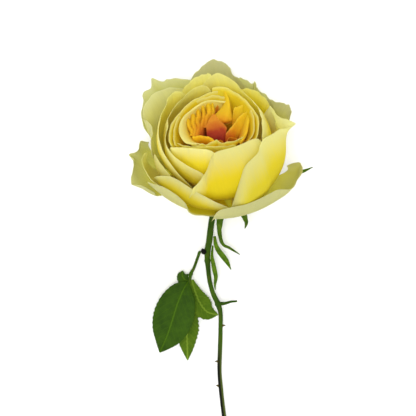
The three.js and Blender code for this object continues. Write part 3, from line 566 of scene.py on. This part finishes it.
right_folds = {
    "fold_right_1": dict(
        ruffle=0.5, waves=2.6,
        rows=[[(8.6, 2, 24), (11, 4, 24), (13.4, 7, 24), (16, 11, 24)],
              [(8.4, 6.5, 32.4), (10.6, 8.6, 33), (13.4, 11.4, 33.4), (17, 14.4, 34.4)],
              [(8.6, 9.5, 36), (10.2, 12.6, 36.6), (13.2, 14.4, 36.8), (17.2, 16.8, 37.2)],
              [(9, 10.8, 37), (9.7, 14.8, 38), (13.6, 16.1, 38.2), (17.6, 18.2, 38.6)],
              [(9.4, 11.8, 36.8), (10, 15.8, 37.8), (14, 17.2, 38), (18, 19.2, 38.4)]]),
    "fold_right_2": dict(
        ruffle=0.5, waves=2.2,
        rows=[[(5.6, -6.4, 23), (8.6, -5, 23), (11.6, -1.6, 23), (14.4, 4, 23)],
              [(4.6, -6, 30), (8.6, -3.8, 31), (12.6, 0.4, 31.8), (16.4, 7.4, 33)],
              [(4.4, -4, 33.6), (8.2, -1.4, 35), (12, 5, 35.8), (16.6, 11.2, 36.4)],
              [(4.8, -2.6, 34.6), (8, 0.8, 36.2), (11.8, 7.4, 37), (17, 13, 37.6)],
              [(5.4, -1.6, 34.4), (8.4, 1.8, 36), (12.2, 8.6, 36.8), (17.4, 14, 37.4)]]),
}
add_petals(right_folds, drape_curve, (48, 32), 0.5, [pleat])
right_tuck = {
    "fold_right_3": dict(
        width=3.0, drop=12,
        crest=[(17.4, 10.5, 37), (17.2, 4, 37.4), (16.2, -3, 37.4), (14.4, -9, 37.2), (12, -13, 37)]),
}
add_petals(right_tuck, tuck_curve, (48, 24), 0.4, [pleat])
twist = {
    "twist_top": dict(
        rows=[[(4.6, 20, 28), (6, 20, 28), (7.4, 19, 28)],
              [(2.6, 27.6, 38), (4, 27.8, 39.2), (5.6, 26.6, 37.6)],
              [(4.2, 23, 36.8), (5.9, 22.6, 39.4), (7, 21.8, 37)],
              [(2.4, 17.5, 36.2), (6.4, 16.4, 39.2), (7.6, 15.6, 36.8)],
              [(-0.8, 13, 35.4), (5.6, 11.4, 38), (8, 11, 36.4)],
              [(-1.8, 10.8, 34.6), (3.6, 6.6, 36), (8.2, 8.2, 35.4)],
              [(-1.2, 11.2, 32.4), (3.6, 7.4, 32.4), (7.8, 8.8, 32.4)]]),
}
add_petals(twist, drape_curve, (32, 60), 0.5, [pleat])

# ---- Heart petals
# The smallest petals, curled tight in the middle of the flower, orange at the lip and deep red-brown
# where they go down into it, partly their own colour and partly painted shade. They stand on the same
# core and hide the stamens.
heart_folds = {
    "loop_top": dict(
        ruffle=0.1, roll=0.5,
        lip=[(0.5, 11.6, 33.5), (-1.3, 13.5, 34.5), (-1.6, 18, 35.4), (0, 21, 36), (1.2, 19.8, 35.6),
             (1.4, 15.5, 34.5)]),
    "fold_front_2": dict(ruffle=0.1, lip=[(-0.6, -14, 38.6), (0.6, -12, 38.6), (2.4, -12, 38.4), (4, -14, 38.4)]),
    "fold_front_3": dict(
        ruffle=0.1, roll=0.8,
        lip=[(4.6, -13.5, 37.5), (5, -10, 37.6), (6.5, -8, 37.6), (9, -8, 37.4), (11.3, -9.2, 37.4), (11, -12, 37.6)]),
}
add_petals(heart_folds, fold_curve, (40, 24), 0.45, [ember])
heart_drape = {
    "heart": dict(
        ruffle=0.1,
        rows=[[(-4, -4.6, 18), (-2.6, -5.4, 18), (-0.4, -6, 18), (1.4, -6, 18), (3, -5.4, 18), (4, -4.4, 18)],
              [(-5.4, -3.4, 29), (-3.4, -3.4, 30.4), (-0.6, -3.2, 31), (1.6, -3.6, 30.8), (3.6, -4, 30.2),
               (5, -4, 29)],
              [(-6, 0.8, 32.6), (-4, 3.6, 34), (-1.6, 4.6, 34.6), (0.8, 3.4, 34.2), (3, 1.6, 33.6), (5, -0.6, 32.6)],
              [(-6.2, 3.6, 33.6), (-4.4, 8.8, 35), (-2, 11.4, 36), (0.4, 8, 35.6), (3, 5, 35), (5.2, 2, 34)],
              [(-6, 4.6, 33), (-4, 9.8, 34.4), (-1.6, 12.4, 35.4), (1, 8.8, 35), (3.6, 5.8, 34.4), (5.6, 2.8, 33.4)]]),
}
add_petals(heart_drape, drape_curve, (40, 32), 0.45, [ember])
heart_tucks = {
    "fold_left_4": dict(
        width=2.6, drop=7, crest=[(-8.6, 20, 36.6), (-7.7, 14, 35.4), (-8.6, 7, 34.8), (-9.8, -1, 33)]),
    "fold_left_5": dict(
        width=3.6, drop=7, crest=[(-5.2, 21.6, 36.8), (-4.6, 16, 35.8), (-6.2, 10.4, 35), (-6.8, 3.4, 33.4)]),
    "fold_left_6": dict(width=1.8, drop=7, crest=[(-2.8, 21.4, 36.4), (-2.2, 16.5, 35.4), (-3, 12.4, 34.4)]),
    "fold_front_1": dict(
        skins=[pleat], width=3.6, drop=12,
        crest=[(-13.8, -8.6, 37.2), (-10.5, -8.6, 38), (-7, -9, 38), (-3.5, -10.4, 37.8), (-1.4, -13, 37)]),
}
add_petals(heart_tucks, tuck_curve, (40, 24), 0.4, [ribbon])

# ---- The core
# The short woody column inside the flower that every petal stands on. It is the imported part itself,
# hidden among the petals, and only takes a finish: fibrous yellow-green plant tissue.
core_finish = bpy.data.materials.new("flower core, fibrous plant tissue")
core_finish.use_nodes = True
core_tree = core_finish.node_tree
core_place = node(core_tree, "TexCoord")
fibres = node(core_tree, "TexNoise", None, {"Vector": core_place.outputs["Object"]}, Scale=700, Detail=4)
core_shades = node(core_tree, "ValToRGB", None, {"Fac": fibres})
core_shades.color_ramp.elements[0].color = colour("#8a5a14")
core_shades.color_ramp.elements[1].color = colour("#b8a032")
feed(core_tree.nodes["Principled BSDF"], {"Base Color": core_shades}, Roughness=0.7)
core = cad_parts["flower_core"]
core.data.materials.clear()
core.data.materials.append(core_finish)

# ---- Hip and sepals
# The hip is the green cup under the petals, smooth and waxy, that swells out of the stem. Five
# pointed sepals grow from its shoulder and lie back under the petals, paler and woolly inside.
SHOULDER = -1.7  # mm up the bloom's axis, where the sepals leave the hip


def rounded_tube(name, around, along, place, materials, divide=0):
    """A shaped grid wrapped round, welded along its seam and closed at its ends."""
    tube = shaped_grid(name, around, along, place, materials)[0]
    bpy.ops.object.mode_set(mode="EDIT")
    bpy.ops.mesh.select_all(action="SELECT")
    bpy.ops.mesh.remove_doubles(threshold=1e-6)
    bpy.ops.mesh.fill_holes(sides=0)
    bpy.ops.mesh.select_all(action="SELECT")
    bpy.ops.mesh.normals_make_consistent(inside=False)
    bpy.ops.object.mode_set(mode="OBJECT")
    return rounded(tube, divide)


def green_tissue(name, shades, blush, size, rough, fine=900, ridges=0.3, stretch=(1, 1, 1)):
    """Green plant skin: smooth, mottled from one green to another in patches of the given size in
    millimetres, with small flecks of a second tint and a fine cellular grain."""
    material = bpy.data.materials.new(name)
    material.use_nodes = True
    tree = material.node_tree
    skin = tree.nodes["Principled BSDF"]
    place = node(tree, "TexCoord")
    drawn = node(tree, "Mapping", None, {"Vector": place.outputs["Object"]}, Scale=stretch)
    patches = node(tree, "TexNoise", None, {"Vector": drawn}, Scale=1000 / size, Detail=4, Roughness=0.6)
    ramp = node(tree, "ValToRGB", None, {"Fac": patches})
    for stop, at, shade in zip(ramp.color_ramp.elements, (0.3, 0.7), shades):
        stop.position, stop.color = at, colour(shade)
    flecks = node(tree, "TexNoise", None, {"Vector": drawn}, Scale=4000 / size, Detail=2)
    fleck = node(tree, "MapRange", None, {"Value": flecks}, From_Min=0.55, From_Max=0.75, To_Max=0.7)
    tinted = node(tree, "Mix", TINTS, {0: fleck, 6: ramp, 7: colour(blush)})
    grain = node(tree, "TexNoise", None, {"Vector": drawn}, Scale=fine, Detail=2)
    bump = node(tree, "Bump", None, {"Height": grain}, Strength=ridges, Distance=0.0003)
    feed(skin, {"Base Color": tinted.outputs[2], "Normal": bump}, Roughness=rough, IOR=1.4, Specular_IOR_Level=0.12)
    return material


hip_skin = green_tissue("hip, waxy green rind", ("#2c4a0a", "#4a6814"), "#5d6a1c", 5, 0.55)
sepal_back = green_tissue("sepal back, smooth green leaf", ("#223c05", "#3c5a0c"), "#6a4414", 7, 0.6)
sepal_face = green_tissue("sepal face, woolly pale green", ("#2a4408", "#466210"), "#5f6a26", 5, 0.85, ridges=0.8)


def hip_surface(u, v):
    """A small turnip shape: a flat shoulder under the petals, five soft lobes, a neck into the stem."""
    radius, height = through([
        (0.02, 0.5), (2.6, 0.4), (4.1, -0.4), (4.5, -2.2), (4.4, -5), (3.7, -8.4), (2.5, -11), (1.72, -12.5),
        (1.5, -13.4)], v).T
    turn = -2 * math.pi * u
    radius = radius * (1 + 0.035 * np.cos(5 * turn) * smooth(1 - np.abs(v - 0.4) * 2))
    return in_bloom(np.stack([radius * np.cos(turn), radius * np.sin(turn), height], 1))


hip = rounded_tube("hip_cup", 40, 30, hip_surface, [hip_skin], divide=1)
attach(hip, "root")
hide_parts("hip")


def heading(line, v):
    """The way that a line runs, at each share of it."""
    ahead = through(line, np.minimum(v + 0.01, 1)) - through(line, np.maximum(v - 0.01, 0))
    return ahead / np.linalg.norm(ahead, axis=1)[:, None]


def blade_surface(u, v, line, widths, fold, face, teeth=0, bite=0.0, wave=0.0, rib=0.0):
    """A blade about a middle line: widths along it, halves that fold up toward face, a toothed margin."""
    centre, ahead = through(line, v), heading(line, v)
    facing = np.array(face, float) / np.linalg.norm(face)
    side = np.cross(ahead, facing)
    side /= np.linalg.norm(side, axis=1)[:, None]
    half = np.maximum(through([(i, w, 0) for i, w in enumerate(widths)], v)[:, 1], 0.3) / 2
    out = 2 * u - 1
    if teeth:
        saw = np.mod(v * teeth + 0.15 * out, 1)
        half = half * (1 - bite * np.abs(out) ** 6 * (1 - saw) * np.minimum(1, 4 * (1 - v)) * np.minimum(1, 8 * v))
    offset = out * half
    lift = fold * np.abs(offset) + wave * np.sin(v * 17 + out * 2) * out**2 - rib * np.exp(-((out * half / 0.5) ** 2))
    return centre + side * offset[:, None] + facing * lift[:, None]


sepals = {
    "sepal_long": dict(
        line=[(1.6, -4.5, SHOULDER), (2.2, -9.9, -9.6), (1.8, -14.8, -19), (1.4, -18, -27), (3.2, -21.2, -34),
              (8, -22, -37.5), (13.4, -23.5, -41)], widths=[2.6, 4, 4.4, 2.8, 1.9, 1.5, 0.4], fold=0.25),
    "sepal_front_right": dict(
        line=[(4.2, -3.2, SHOULDER), (9, -8.5, -4.4), (12.4, -13.8, -8.8), (15.2, -16.3, -14.8), (16.8, -18, -20),
              (16, -19.3, -23.5)], widths=[2.6, 5, 5, 3.8, 2.2, 0.3], fold=0.2),
    "sepal_right": dict(
        line=[(4.9, 0.8, SHOULDER), (16, -1, -2.6), (28, -1.8, -2.6), (40, 0.2, -1.2), (49, 2.6, 1), (55, 4, 3.1)],
        widths=[2.6, 5, 4.5, 3.2, 2, 0.3], fold=-0.15),
    "sepal_back": dict(
        line=[(2.6, 4.3, SHOULDER - 0.3), (7.5, 9.7, -3.4), (11, 11.3, -5.8), (13, 10.3, -8.8), (13.5, 7.5, -11.7)],
        widths=[2.6, 5, 4.5, 2.6, 0.4], fold=0.1),
    "sepal_left": dict(
        line=[(-4.8, 1, SHOULDER - 0.2), (-13, 3.2, -3.9), (-20, 3.5, -7.8), (-25, 1.4, -12.7), (-27, -1.8, -16.6)],
        widths=[2.6, 6, 5, 3, 0.4], fold=0.1),
}
for name, shape in sepals.items():
    sepal = soft_sheet(
        name + "_leaf", 12, 64,
        lambda u, v: in_bloom(blade_surface(u, v, face=(0, -1, 1), teeth=9, bite=0.12, wave=0.25, **shape)),
        0.45, [sepal_face, sepal_back])
    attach(sepal, "root")
    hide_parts(name)

# ---- Stem
# A woody green shoot, round and about 3 mm thick, browner where the light caught it, with a dark bud
# at the leaf, a snapped side twig lower down and a few small thorns. It grows out of the hip.
LOWEST = -np.array(bloom_foot)[2] * 1000  # mm from the bloom's foot down to the table
LEAF_AT, STUB_AT = 43.8, 74.4  # mm down the stem from the bloom's foot


def by_bloom(points):
    """Millimetres from the bloom's foot, upright, to metres in the shared frame."""
    return np.asarray(points) / 1000 + np.array(bloom_foot)


STEM_RADIUS = 1.45  # mm, at its cut end
STEM_TOP, STEM_BEND = 11.95, 14.85  # mm down the bloom's axis, where the stem begins and where it leaves the axis
stem_line = [
    *((0, -down * math.sin(TILT), -down * math.cos(TILT)) for down in (STEM_TOP, STEM_BEND)),
    (-0.8, -14, -11.6), (-2, -20, -12), (-3.2, -27, -11.8), (-4.4, -37, -11.4), (-5.5, -44, -11.2), (-5.4, -50, -11),
    (-4.3, -60.4, -10.8), (-2.3, -68, -10.6), (0.6, -74.3, -10.4), (2.1, -80, -10.4), (2.1, -89.5, -10.4),
    (1.8, -101, -10.6), (1.5, -113, -11), (2.4, -125, -11.6), (4.1, -139.7, -12.3), (5.6, -153.1, -13.3),
    (6.6, -165.2, -14.9), (7.2, -178.6, -16.6), (7.8, -192, LOWEST + STEM_RADIUS)]
stem_shares = [1.1, 1.12, 1.16, 1.2, 1.24, 1.28, 1.24, 1.04, 0.9, 0.94, 1.1, 0.9, 0.87, 0.9, 0.87, 0.9, 0.88, 0.9,
               0.93,
               0.96, 1]  # of the radius, at each point of the line


def shoot_surface(u, v, line, radii, knobble=0.0, knots=()):
    """A round shoot about a line, a little uneven, with swellings at its knots: (share, size, width)."""
    centre, ahead = through(line, v), heading(line, v)
    across = np.cross(ahead, (0, 0, 1))
    across /= np.linalg.norm(across, axis=1)[:, None]
    up = np.cross(across, ahead)
    radius = through([(i, r, 0) for i, r in enumerate(radii)], v)[:, 1]
    turn = 2 * math.pi * u
    radius = radius * (1 + knobble * (np.sin(3 * turn + 40 * v) * np.sin(61 * v) + 0.5 * np.sin(2 * turn + 113 * v)))
    for at, size, width in knots:
        radius = radius + size * np.exp(-(((v - at) / width) ** 2))
    return by_bloom(centre + across * (radius * np.cos(turn))[:, None] + up * (radius * np.sin(turn))[:, None])


def stem_spot(distance):
    """The stem's middle where it has run that far from the bloom."""
    share = np.linspace(0, 1, 4001)
    middle = through(stem_line, share)
    return middle[np.argmin(np.abs(middle[:, 1] + distance))]


def grey_and_shade_stem(material):
    """Greys the bark from 50 mm below the leaf down, and paints shade on its left side there, nearly black."""
    tree = material.node_tree
    skin = tree.nodes["Principled BSDF"]
    green = skin.inputs["Base Color"].links[0].from_socket
    surface = node(tree, "NewGeometry")
    turned = node(tree, "SeparateXYZ", None, {"Vector": surface.outputs["Normal"]})
    place = node(tree, "TexCoord")
    parts = node(tree, "SeparateXYZ", None, {"Vector": place.outputs["Object"]})
    # painted shade: the side facing -X is marked for darkening, only where the bark is greyed
    side = node(tree, "MapRange", EASED, {"Value": turned.outputs["X"]}, From_Min=-0.1, From_Max=0.55, To_Min=1,
                To_Max=0)
    low = node(tree, "MapRange", EASED, {"Value": parts.outputs["Y"]}, From_Min=-0.05, From_Max=-0.03, To_Min=1,
               To_Max=0)
    share = node(tree, "Math", {"operation": "MULTIPLY"}, {0: side, 1: low})
    grey = node(tree, "Mix", TINTS, {0: low, 6: green, 7: colour("#46521f")})
    # the painted shade on the left side, nearly black
    dark = node(tree, "Mix", TINTS, {0: share, 6: grey.outputs[2], 7: colour("#0d1006")})
    feed(skin, {"Base Color": dark.outputs[2]})


stem_skin = green_tissue(
    "stem, young woody bark", ("#1c3402", "#3a5a08"), "#46460e", 6, 0.65, fine=1400, ridges=0.4, stretch=(1, 0.3, 1))
grey_and_shade_stem(stem_skin)
bud_skin = green_tissue("leaf bud, dark scaly bark", ("#070804", "#12110a"), "#1c160c", 2, 0.8)
thorn_skin = green_tissue("thorn, dry brown horn", ("#33300f", "#4f4418"), "#2a220c", 2, 0.55)

stem = rounded_tube(
    "stem_shoot", 24, 260,
    lambda u, v: shoot_surface(u, v, stem_line, [s * STEM_RADIUS for s in stem_shares], 0.025,
                               [(0.345, 0.35, 0.006), (0.5, 0.3, 0.006)]), [stem_skin])

stub_line = [stem_spot(STUB_AT) + np.array(step) for step in ((0.3, 0, 0), (4.7, 0.6, 0), (7.4, 1.4, 0.2),
                                                              (11.1, 1.8, 0.8))]
stub = rounded_tube(
    "side_twig_stub", 16, 30, lambda u, v: shoot_surface(u, v, stub_line, [1.25, 0.85, 0.72, 0.55], 0.06), [stem_skin])
bud_middle = stem_spot(LEAF_AT) + np.array((-2.05, 0, 0.2))
bud_line = [bud_middle + np.array(step) for step in (
    (1.6, -0.8, -0.2), (0.8, -0.3, 0), (0, 0.2, 0.1), (-0.7, 1, 0.3), (-1, 1.9, 0.5))]
bud = rounded_tube(
    "leaf_bud", 16, 18, lambda u, v: shoot_surface(u, v, bud_line, [1.1, 1.7, 1.8, 1.3, 0.1], 0.04), [bud_skin])

thorn_places = [
    (87.2, (1, 0.3, 0.2)), (108, (-1, 0.2, 0.3)), (122.5, (-1, 0.3, 0.1)), (142.2, (1, 0.2, 0.5)),
    (157.6, (-1, 0.2, 0.5))]
thorns = []
for number, (distance, toward) in enumerate(thorn_places):
    base = stem_spot(distance)
    way = np.array(toward, float) / np.linalg.norm(toward)
    thorn_line = [base + way * 0.6, base + way * 1.6, base + way * 2.5 + (0, -0.2, 0), base + way * 3.2 + (0, -0.6, 0)]
    thorns.append(rounded_tube(
        f"thorn_{number + 1}", 12, 12, lambda u, v: shoot_surface(u, v, thorn_line, [1.0, 0.62, 0.3, 0.04]),
        [thorn_skin]))
for piece in (stem, stub, bud, *thorns):
    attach(piece, "root")
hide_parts("stem")

# ---- Leaf stalk
# The thin green stalk that leaves the bud and carries the leaf, swollen where the leaflets meet.
stalk_top = bud_middle + np.array((-1.85, -0.2, 0))
leaf_level = LOWEST + 2.2  # mm, the height that the leaf lies at
stalk_line = [
    stalk_top, stalk_top + np.array((-0.8, -0.3, -0.1)), (-10.9, -46.4, -11.4), (-13.4, -53.4, -11.8),
    (-15.1, -56.6, leaf_level + 2.2), (-16.3, -62.6, leaf_level + 2.2)]
stalk = rounded_tube(
    "leaf_stalk_shoot", 16, 60,
    lambda u, v: shoot_surface(u, v, stalk_line, [0.9, 0.85, 0.85, 0.85, 1.0, 0.7], 0.03, [(0.83, 0.3, 0.03)]),
    [stem_skin])
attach(stalk, "root")
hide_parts("leaf_stalk")

# ---- Leaflets
# Four thin leaflets, dark green and slightly glossy above, dull and pale below, with a sunken midrib,
# slanting side veins and a finely toothed margin. They are joined to the end of the stalk.


def leaf_blade(name, low, high, vein, rough, relief):
    """Leaf skin: a smooth cuticle over green tissue. Paler veins run out from the midrib and forward."""
    material = bpy.data.materials.new(name)
    material.use_nodes = True
    tree = material.node_tree
    skin = tree.nodes["Principled BSDF"]
    place = node(tree, "TexCoord")
    parts = node(tree, "SeparateXYZ", None, {"Vector": place.outputs["UV"]})
    out = node(tree, "Math", {"operation": "ABSOLUTE"}, {0: parts.outputs["X"]})
    # side veins about 4.5 mm apart, slanting forward by 0.9 mm for each mm out
    slant = node(tree, "Math", {"operation": "MULTIPLY_ADD"}, {0: out, 1: 0.9, 2: parts.outputs["Y"]})
    wander = node(tree, "TexNoise", None, {"Vector": place.outputs["Object"]}, Scale=120, Detail=3)
    moved = node(tree, "Math", {"operation": "MULTIPLY_ADD"}, {0: wander, 1: 0.02, 2: slant})
    turns = node(tree, "Math", {"operation": "MULTIPLY"}, {0: moved, 1: 100 / 4.5 * math.pi})
    wave = node(tree, "Math", {"operation": "SINE"}, {0: turns})
    near = node(tree, "Math", {"operation": "ABSOLUTE"}, {0: wave})
    side_vein = node(tree, "MapRange", EASED, {"Value": near}, From_Min=0, From_Max=0.28, To_Min=0.35, To_Max=0)
    midrib = node(tree, "MapRange", EASED, {"Value": out}, From_Min=0.002, From_Max=0.008, To_Min=1, To_Max=0)
    lines = node(tree, "Math", {"operation": "MAXIMUM"}, {0: side_vein, 1: midrib})
    patches = node(tree, "TexNoise", None, {"Vector": place.outputs["Object"]}, Scale=160, Detail=5, Roughness=0.6)
    ramp = node(tree, "ValToRGB", None, {"Fac": patches})
    for stop, at, shade in zip(ramp.color_ramp.elements, (0.3, 0.72), (low, high)):
        stop.position, stop.color = at, colour(shade)
    tinted = node(tree, "Mix", TINTS, {0: lines, 6: ramp, 7: colour(vein)})
    # a net of veinlets, 1.1 mm across
    cells = node(tree, "TexVoronoi", None, {"Vector": place.outputs["Object"]}, Scale=900)
    height = node(tree, "Math", {"operation": "MULTIPLY_ADD"}, {0: cells, 1: -0.4, 2: lines})
    bump = node(tree, "Bump", None, {"Height": height}, Strength=0.5, Distance=relief)
    feed(skin, {"Base Color": tinted.outputs[2], "Normal": bump}, Roughness=rough, IOR=1.4, Specular_IOR_Level=0.12)
    return material


leaf_top = leaf_blade("leaflet upper side, waxy dark green", "#223d02", "#335205", "#3e5e08", 0.6, -0.0003)
leaf_under = leaf_blade("leaflet underside, dull pale green", "#3c5a0a", "#526c12", "#6a8424", 0.75, 0.0004)
leaflets = {
    "leaflet_end": dict(
        line=[(-16.9, -61.6, leaf_level + 2.2), (-20, -67, leaf_level + 3.4), (-23.2, -75, leaf_level + 4),
              (-26, -84, leaf_level + 3.6), (-29, -93, leaf_level + 2.4), (-31.6, -99, leaf_level + 1.4),
              (-33.6, -103.2, leaf_level + 0.9)],
        widths=[2, 15, 22.5, 24, 18.5, 9, 0.4], fold=0.06, teeth=20, bite=0.05, wave=0.5, rib=0.35),
    "leaflet_under": dict(
        line=[(-15.9, -61.8, leaf_level - 0.3), (-16.2, -70, leaf_level - 1), (-17, -80, leaf_level - 1.2),
              (-17.6, -90, leaf_level - 1.2), (-17.4, -99, leaf_level - 1.4), (-17.2, -108.2, leaf_level - 1.6)],
        widths=[1.5, 6, 12, 15, 9.5, 0.4], fold=0, teeth=18, bite=0.13, wave=0.1, rib=0.2),
    "leaflet_right": dict(
        line=[(-14.8, -60.6, leaf_level + 0.3), (-12.8, -67.2, leaf_level), (-10, -74, leaf_level + 0.4),
              (-5.6, -79.4, leaf_level + 0.4), (0.8, -81.2, leaf_level + 0.2)],
        widths=[2, 7.5, 13, 10.5, 0.4], fold=0.12, teeth=14, bite=0.12, wave=0.1, rib=0.25),
    "leaflet_small": dict(
        line=[(-16.8, -61.4, leaf_level + 1), (-19, -60.2, leaf_level + 1.3), (-20.4, -57.8, leaf_level + 1.4),
              (-20, -55.2, leaf_level + 1.2)],
        widths=[3, 8, 6.5, 0.4], fold=0.05, teeth=9, bite=0.1, wave=0.1, rib=0.15),
}
turned_over = ("leaflet_under", "leaflet_right")  # these two lie with the pale side up
for name, shape in leaflets.items():
    leaflet = soft_sheet(
        name + "_blade", 24, 120, lambda u, v: by_bloom(blade_surface(u, v, face=(0, 0, 1), **shape)), 0.4,
        [leaf_under if name in turned_over else leaf_top, leaf_under])
    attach(leaflet, "root")
    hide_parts(name)

# ---- Bracts
# Two narrow leaf-like strips beside the upper stem, fresh yellow-green and slightly keeled.
BRACTS_AT = 36  # mm down the stem from the bloom's foot
bract_skin = green_tissue("bract, soft yellow-green leaf", ("#2e4c06", "#54760e"), "#6a7414", 4, 0.6)


def beside(points):
    """[out from the stem's side, distance down it, height] to places in the upright frame."""
    placed = []
    for out, distance, height in points:
        down = BRACTS_AT + distance
        share = np.interp(-down, *zip(*sorted((p[1], s) for p, s in zip(stem_line, stem_shares))))
        spot = stem_spot(down)
        placed.append((spot[0] + share * STEM_RADIUS + out, -down, spot[2] + height))
    return placed


bracts = {
    "bract_right": dict(
        line=beside([(0.9, -1.2, 0.8), (2.5, 4, 1.6), (4.8, 7.4, 1.6), (7.2, 10.2, 1.4), (9.8, 13.8, 0.6),
                     (11.9, 18.5, -0.6)]),
        widths=[1.6, 2.4, 3, 3.2, 2.6, 0.3]),
    "bract_left": dict(
        line=beside([(0.7, 4.2, 0.6), (1, 10.4, 1.4), (1.6, 14, 1.9), (2.2, 18.5, 1.9), (2.6, 22.6, 1.8),
                     (1.3, 27, 1.6),
                     (0.6, 30.2, 1.3)]),
        widths=[0.8, 1.8, 2.4, 2.7, 2.3, 1.4, 0.3]),
}
for name, shape in bracts.items():
    bract = soft_sheet(
        name + "_strip", 10, 60,
        lambda u, v: by_bloom(blade_surface(u, v, face=(0, 0, 1), fold=0.25, wave=0.15, **shape)), 0.35, [bract_skin])
    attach(bract, "root")
    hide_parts(name)

# ---- The table and the light
# A plain pale table top under the flower, and an evenly lit white room with one large soft lamp.
TABLE_GAP = 0.0002  # m, so that the table's top cuts no petal
LAMP_STRENGTH, LAMP_WIDTH = 1.4, 24  # degrees across, for soft shadows
WALLS, CEILING = 1.75, 0.92  # how bright the room is low down and high up
deselect()
bpy.ops.mesh.primitive_circle_add(
    vertices=64, radius=30, fill_type="NGON", location=(0, 0, min(0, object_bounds()[0].z) - TABLE_GAP))
table = bpy.context.object
table.name = "table_top"
table_finish = bpy.data.materials.new("table top, matt white card")
table_finish.use_nodes = True
table_tree = table_finish.node_tree
table_place = node(table_tree, "TexCoord")
table_grain = node(table_tree, "TexNoise", None, {"Vector": table_place.outputs["Object"]}, Scale=400)
table_shades = node(table_tree, "ValToRGB", None, {"Fac": table_grain})
table_shades.color_ramp.elements[0].color = colour("#f4f4f2")
table_shades.color_ramp.elements[1].color = colour("#f9f9f8")
feed(table_tree.nodes["Principled BSDF"], {"Base Color": table_shades}, Roughness=0.9, Specular_IOR_Level=0.1)
table.data.materials.append(table_finish)

room = bpy.data.worlds.new("white room")
room.use_nodes = True
room_place = node(room.node_tree, "TexCoord")
room_parts = node(room.node_tree, "SeparateXYZ", None, {"Vector": room_place.outputs["Generated"]})
room_rise = node(room.node_tree, "MapRange", EASED, {"Value": room_parts.outputs["Z"]},
                 From_Min=0.2, From_Max=0.6, To_Min=WALLS, To_Max=CEILING)
feed(room.node_tree.nodes["Background"], {"Strength": room_rise}, Color=(1, 1, 1, 1))
bpy.context.scene.world = room
lamp_data = bpy.data.lights.new("soft lamp", "SUN")
lamp_data.energy = LAMP_STRENGTH
lamp_data.angle = math.radians(LAMP_WIDTH)
lamp = bpy.data.objects.new("soft lamp", lamp_data)
lamp.rotation_euler = (math.radians(5), math.radians(-4), 0)
bpy.context.scene.collection.objects.link(lamp)
